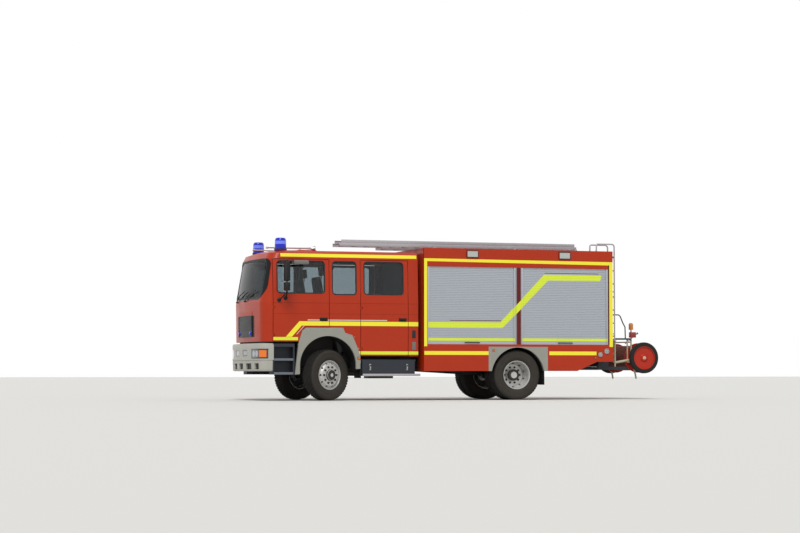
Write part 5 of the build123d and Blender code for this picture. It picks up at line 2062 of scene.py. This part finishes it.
@dataclass
class RoadWheels:
    """Where the road wheels are, and what dresses them."""

    # Angle of the front wheels at rest, to the left
    steered: float = math.radians(25)
    # Station, width and height of the left kingpin and of the left rear wheel's middle
    kingpin: Triple = (25, 940, 522)
    rear: Triple = (-4142, 887.5, 522)
    # From the kingpin out to the front wheel's middle, and to each of the twin tyres, in metres
    offset: float = 0.06
    twin: float = 0.1625
    # Hub caps as distances out and radii, in metres
    front_cap: Pairs = (
        (0.133, 0.01), (0.133, 0.116), (0.148, 0.115), (0.180, 0.102), (0.1895, 0.06),
        (0.1895, 0.04), (0.186, 0.036), (0.186, 0.002),
    )
    rear_cap: Pairs = (
        (0.05, 0.02), (0.05, 0.1195), (0.112, 0.1195), (0.1255, 0.097), (0.1255, 0.07),
        (0.121, 0.065), (0.121, 0.02),
    )

    def build(self) -> None:
        """Make tyres, nuts, hub caps and dust shields."""
        for side, hand in SIDES:
            out = side * Vector((-math.sin(self.steered), math.cos(self.steered), 0))
            x, y, z = self.kingpin
            middle = spot(x, side * y, z) + out * self.offset
            front = Wheel(f"front_{hand}", f"wheel_front_{hand}", middle, out)
            Tyre(front, f"front_tyre_{hand}").build()
            WheelNuts(front, 0.129, self.front_cap, 0.05).build()
            x, y, z = self.rear
            rear = Wheel(f"rear_{hand}", f"wheel_rear_{hand}", spot(x, side * y, z), ASIDE * side)
            Tyre(rear, f"rear_tyre_{hand}", (-self.twin, self.twin)).build()
            WheelNuts(rear, 0.021, self.rear_cap, -0.05).build()


def seals() -> None:
    """Fit the rubber seals round every pane."""
    Seal("windscreen", "chassis", lap=38, cover=12).build()
    Seal("cab_side_glass", "chassis").build()
    for _, hand in SIDES:
        Seal(f"front_glass_{hand}", f"door_front_{hand}").build()
        Seal(f"crew_glass_{hand}", f"door_crew_{hand}").build()


def dress_nodes() -> None:
    """Give every carried-over node the finish of its record slot, or its own."""
    slots = {row["node"]: row["material_slot"] for row in frame["record"]["subparts"]}
    for name, node in frame["nodes"].items():
        finish = NODE_FINISHES.get(name, SLOT_FINISHES[slots[name]])
        node.data.materials.clear()
        node.data.materials.append(finish.make())
        log.info("%s: %s", name, finish.name)


@dataclass
class Studio:
    """The pale floor, the soft light and the camera at the photograph's viewing angle."""

    camera_place: Triple = (at(12907), 43.141, 0.584)
    heading: float = math.radians(19)
    pitch: float = math.radians(2.81)
    lens: float = 96.75
    floor_size: float = 400
    floor_colour: str = "D9D8D4"
    sky_strength: float = 0.55
    sun_strength: float = 2.0
    sun_size: float = math.radians(25)
    sun_heading: Triple = (-0.35, -0.75, -1.0)

    def build(self) -> None:
        """Make the floor, the lights and the camera."""
        self.make_camera()
        self.make_floor()
        self.make_lights()

    def make_camera(self) -> None:
        """Place the camera level with the photographer, looking a little up."""
        data = bpy.data.cameras.new("camera")
        data.lens = self.lens
        data.clip_end = 500
        camera = linked("camera", data)
        h, p = self.heading, self.pitch
        forward = Vector((-math.sin(h) * math.cos(p), -math.cos(h) * math.cos(p), math.sin(p)))
        camera.rotation_euler = forward.to_track_quat("-Z", "Y").to_euler()
        camera.location = self.camera_place
        bpy.context.scene.camera = camera

    def make_floor(self) -> None:
        """Lay a wide pale floor that keeps the vehicle's shadow."""
        half = self.floor_size / 2
        mesh = bpy.data.meshes.new("floor")
        corners = [(-half, -half, 0), (half, -half, 0), (half, half, 0), (-half, half, 0)]
        mesh.from_pydata(corners, [], [(0, 1, 2, 3)])
        floor = linked("floor", mesh)
        material = bpy.data.materials.new("pale_floor")
        material.use_nodes = True
        shader = material.node_tree.nodes["Principled BSDF"]
        shader.inputs["Base Color"].default_value = linear(self.floor_colour)
        shader.inputs["Roughness"].default_value = 0.9
        mesh.materials.append(material)

    def make_lights(self) -> None:
        """Light the scene by a soft white sky and one large soft sun."""
        world = bpy.data.worlds.new("studio")
        bpy.context.scene.world = world
        world.use_nodes = True
        tree = world.node_tree
        tree.nodes.clear()
        path = add_node(tree, "ShaderNodeLightPath")
        seen = folded(
            tree,
            [path.outputs[f"Is {ray} Ray"] for ray in ("Camera", "Glossy", "Transmission")],
            *EITHER,
        )
        strength = add_node(
            tree, "ShaderNodeMix", {"data_type": "FLOAT", 2: self.sky_strength, 3: 1.0},
            {0: seen},
        )
        sky = add_node(
            tree, "ShaderNodeBackground", {"Color": (1, 1, 1, 1)},
            {"Strength": strength.outputs[0]},
        )
        add_node(tree, "ShaderNodeOutputWorld", {}, {"Surface": sky.outputs[0]})
        data = bpy.data.lights.new("sun", "SUN")
        data.energy = self.sun_strength
        data.angle = self.sun_size
        sun = linked("sun", data)
        sun.rotation_euler = Vector(self.sun_heading).to_track_quat("-Z", "Y").to_euler()


def main() -> None:
    """Build the studio and every sub-assembly in order."""
    scene = bpy.context.scene
    scene.view_settings.view_transform = "Standard"
    Studio().build()
    dress_nodes()
    RoadWheels().build()
    seals()
    Seats().build()
    Fittings().build()
    for part in (CabFront, Bumper, Mirrors, RoofGear, Shutters, Reel, LowerBody):
        part().build()


if __name__ == "__main__":
    main()
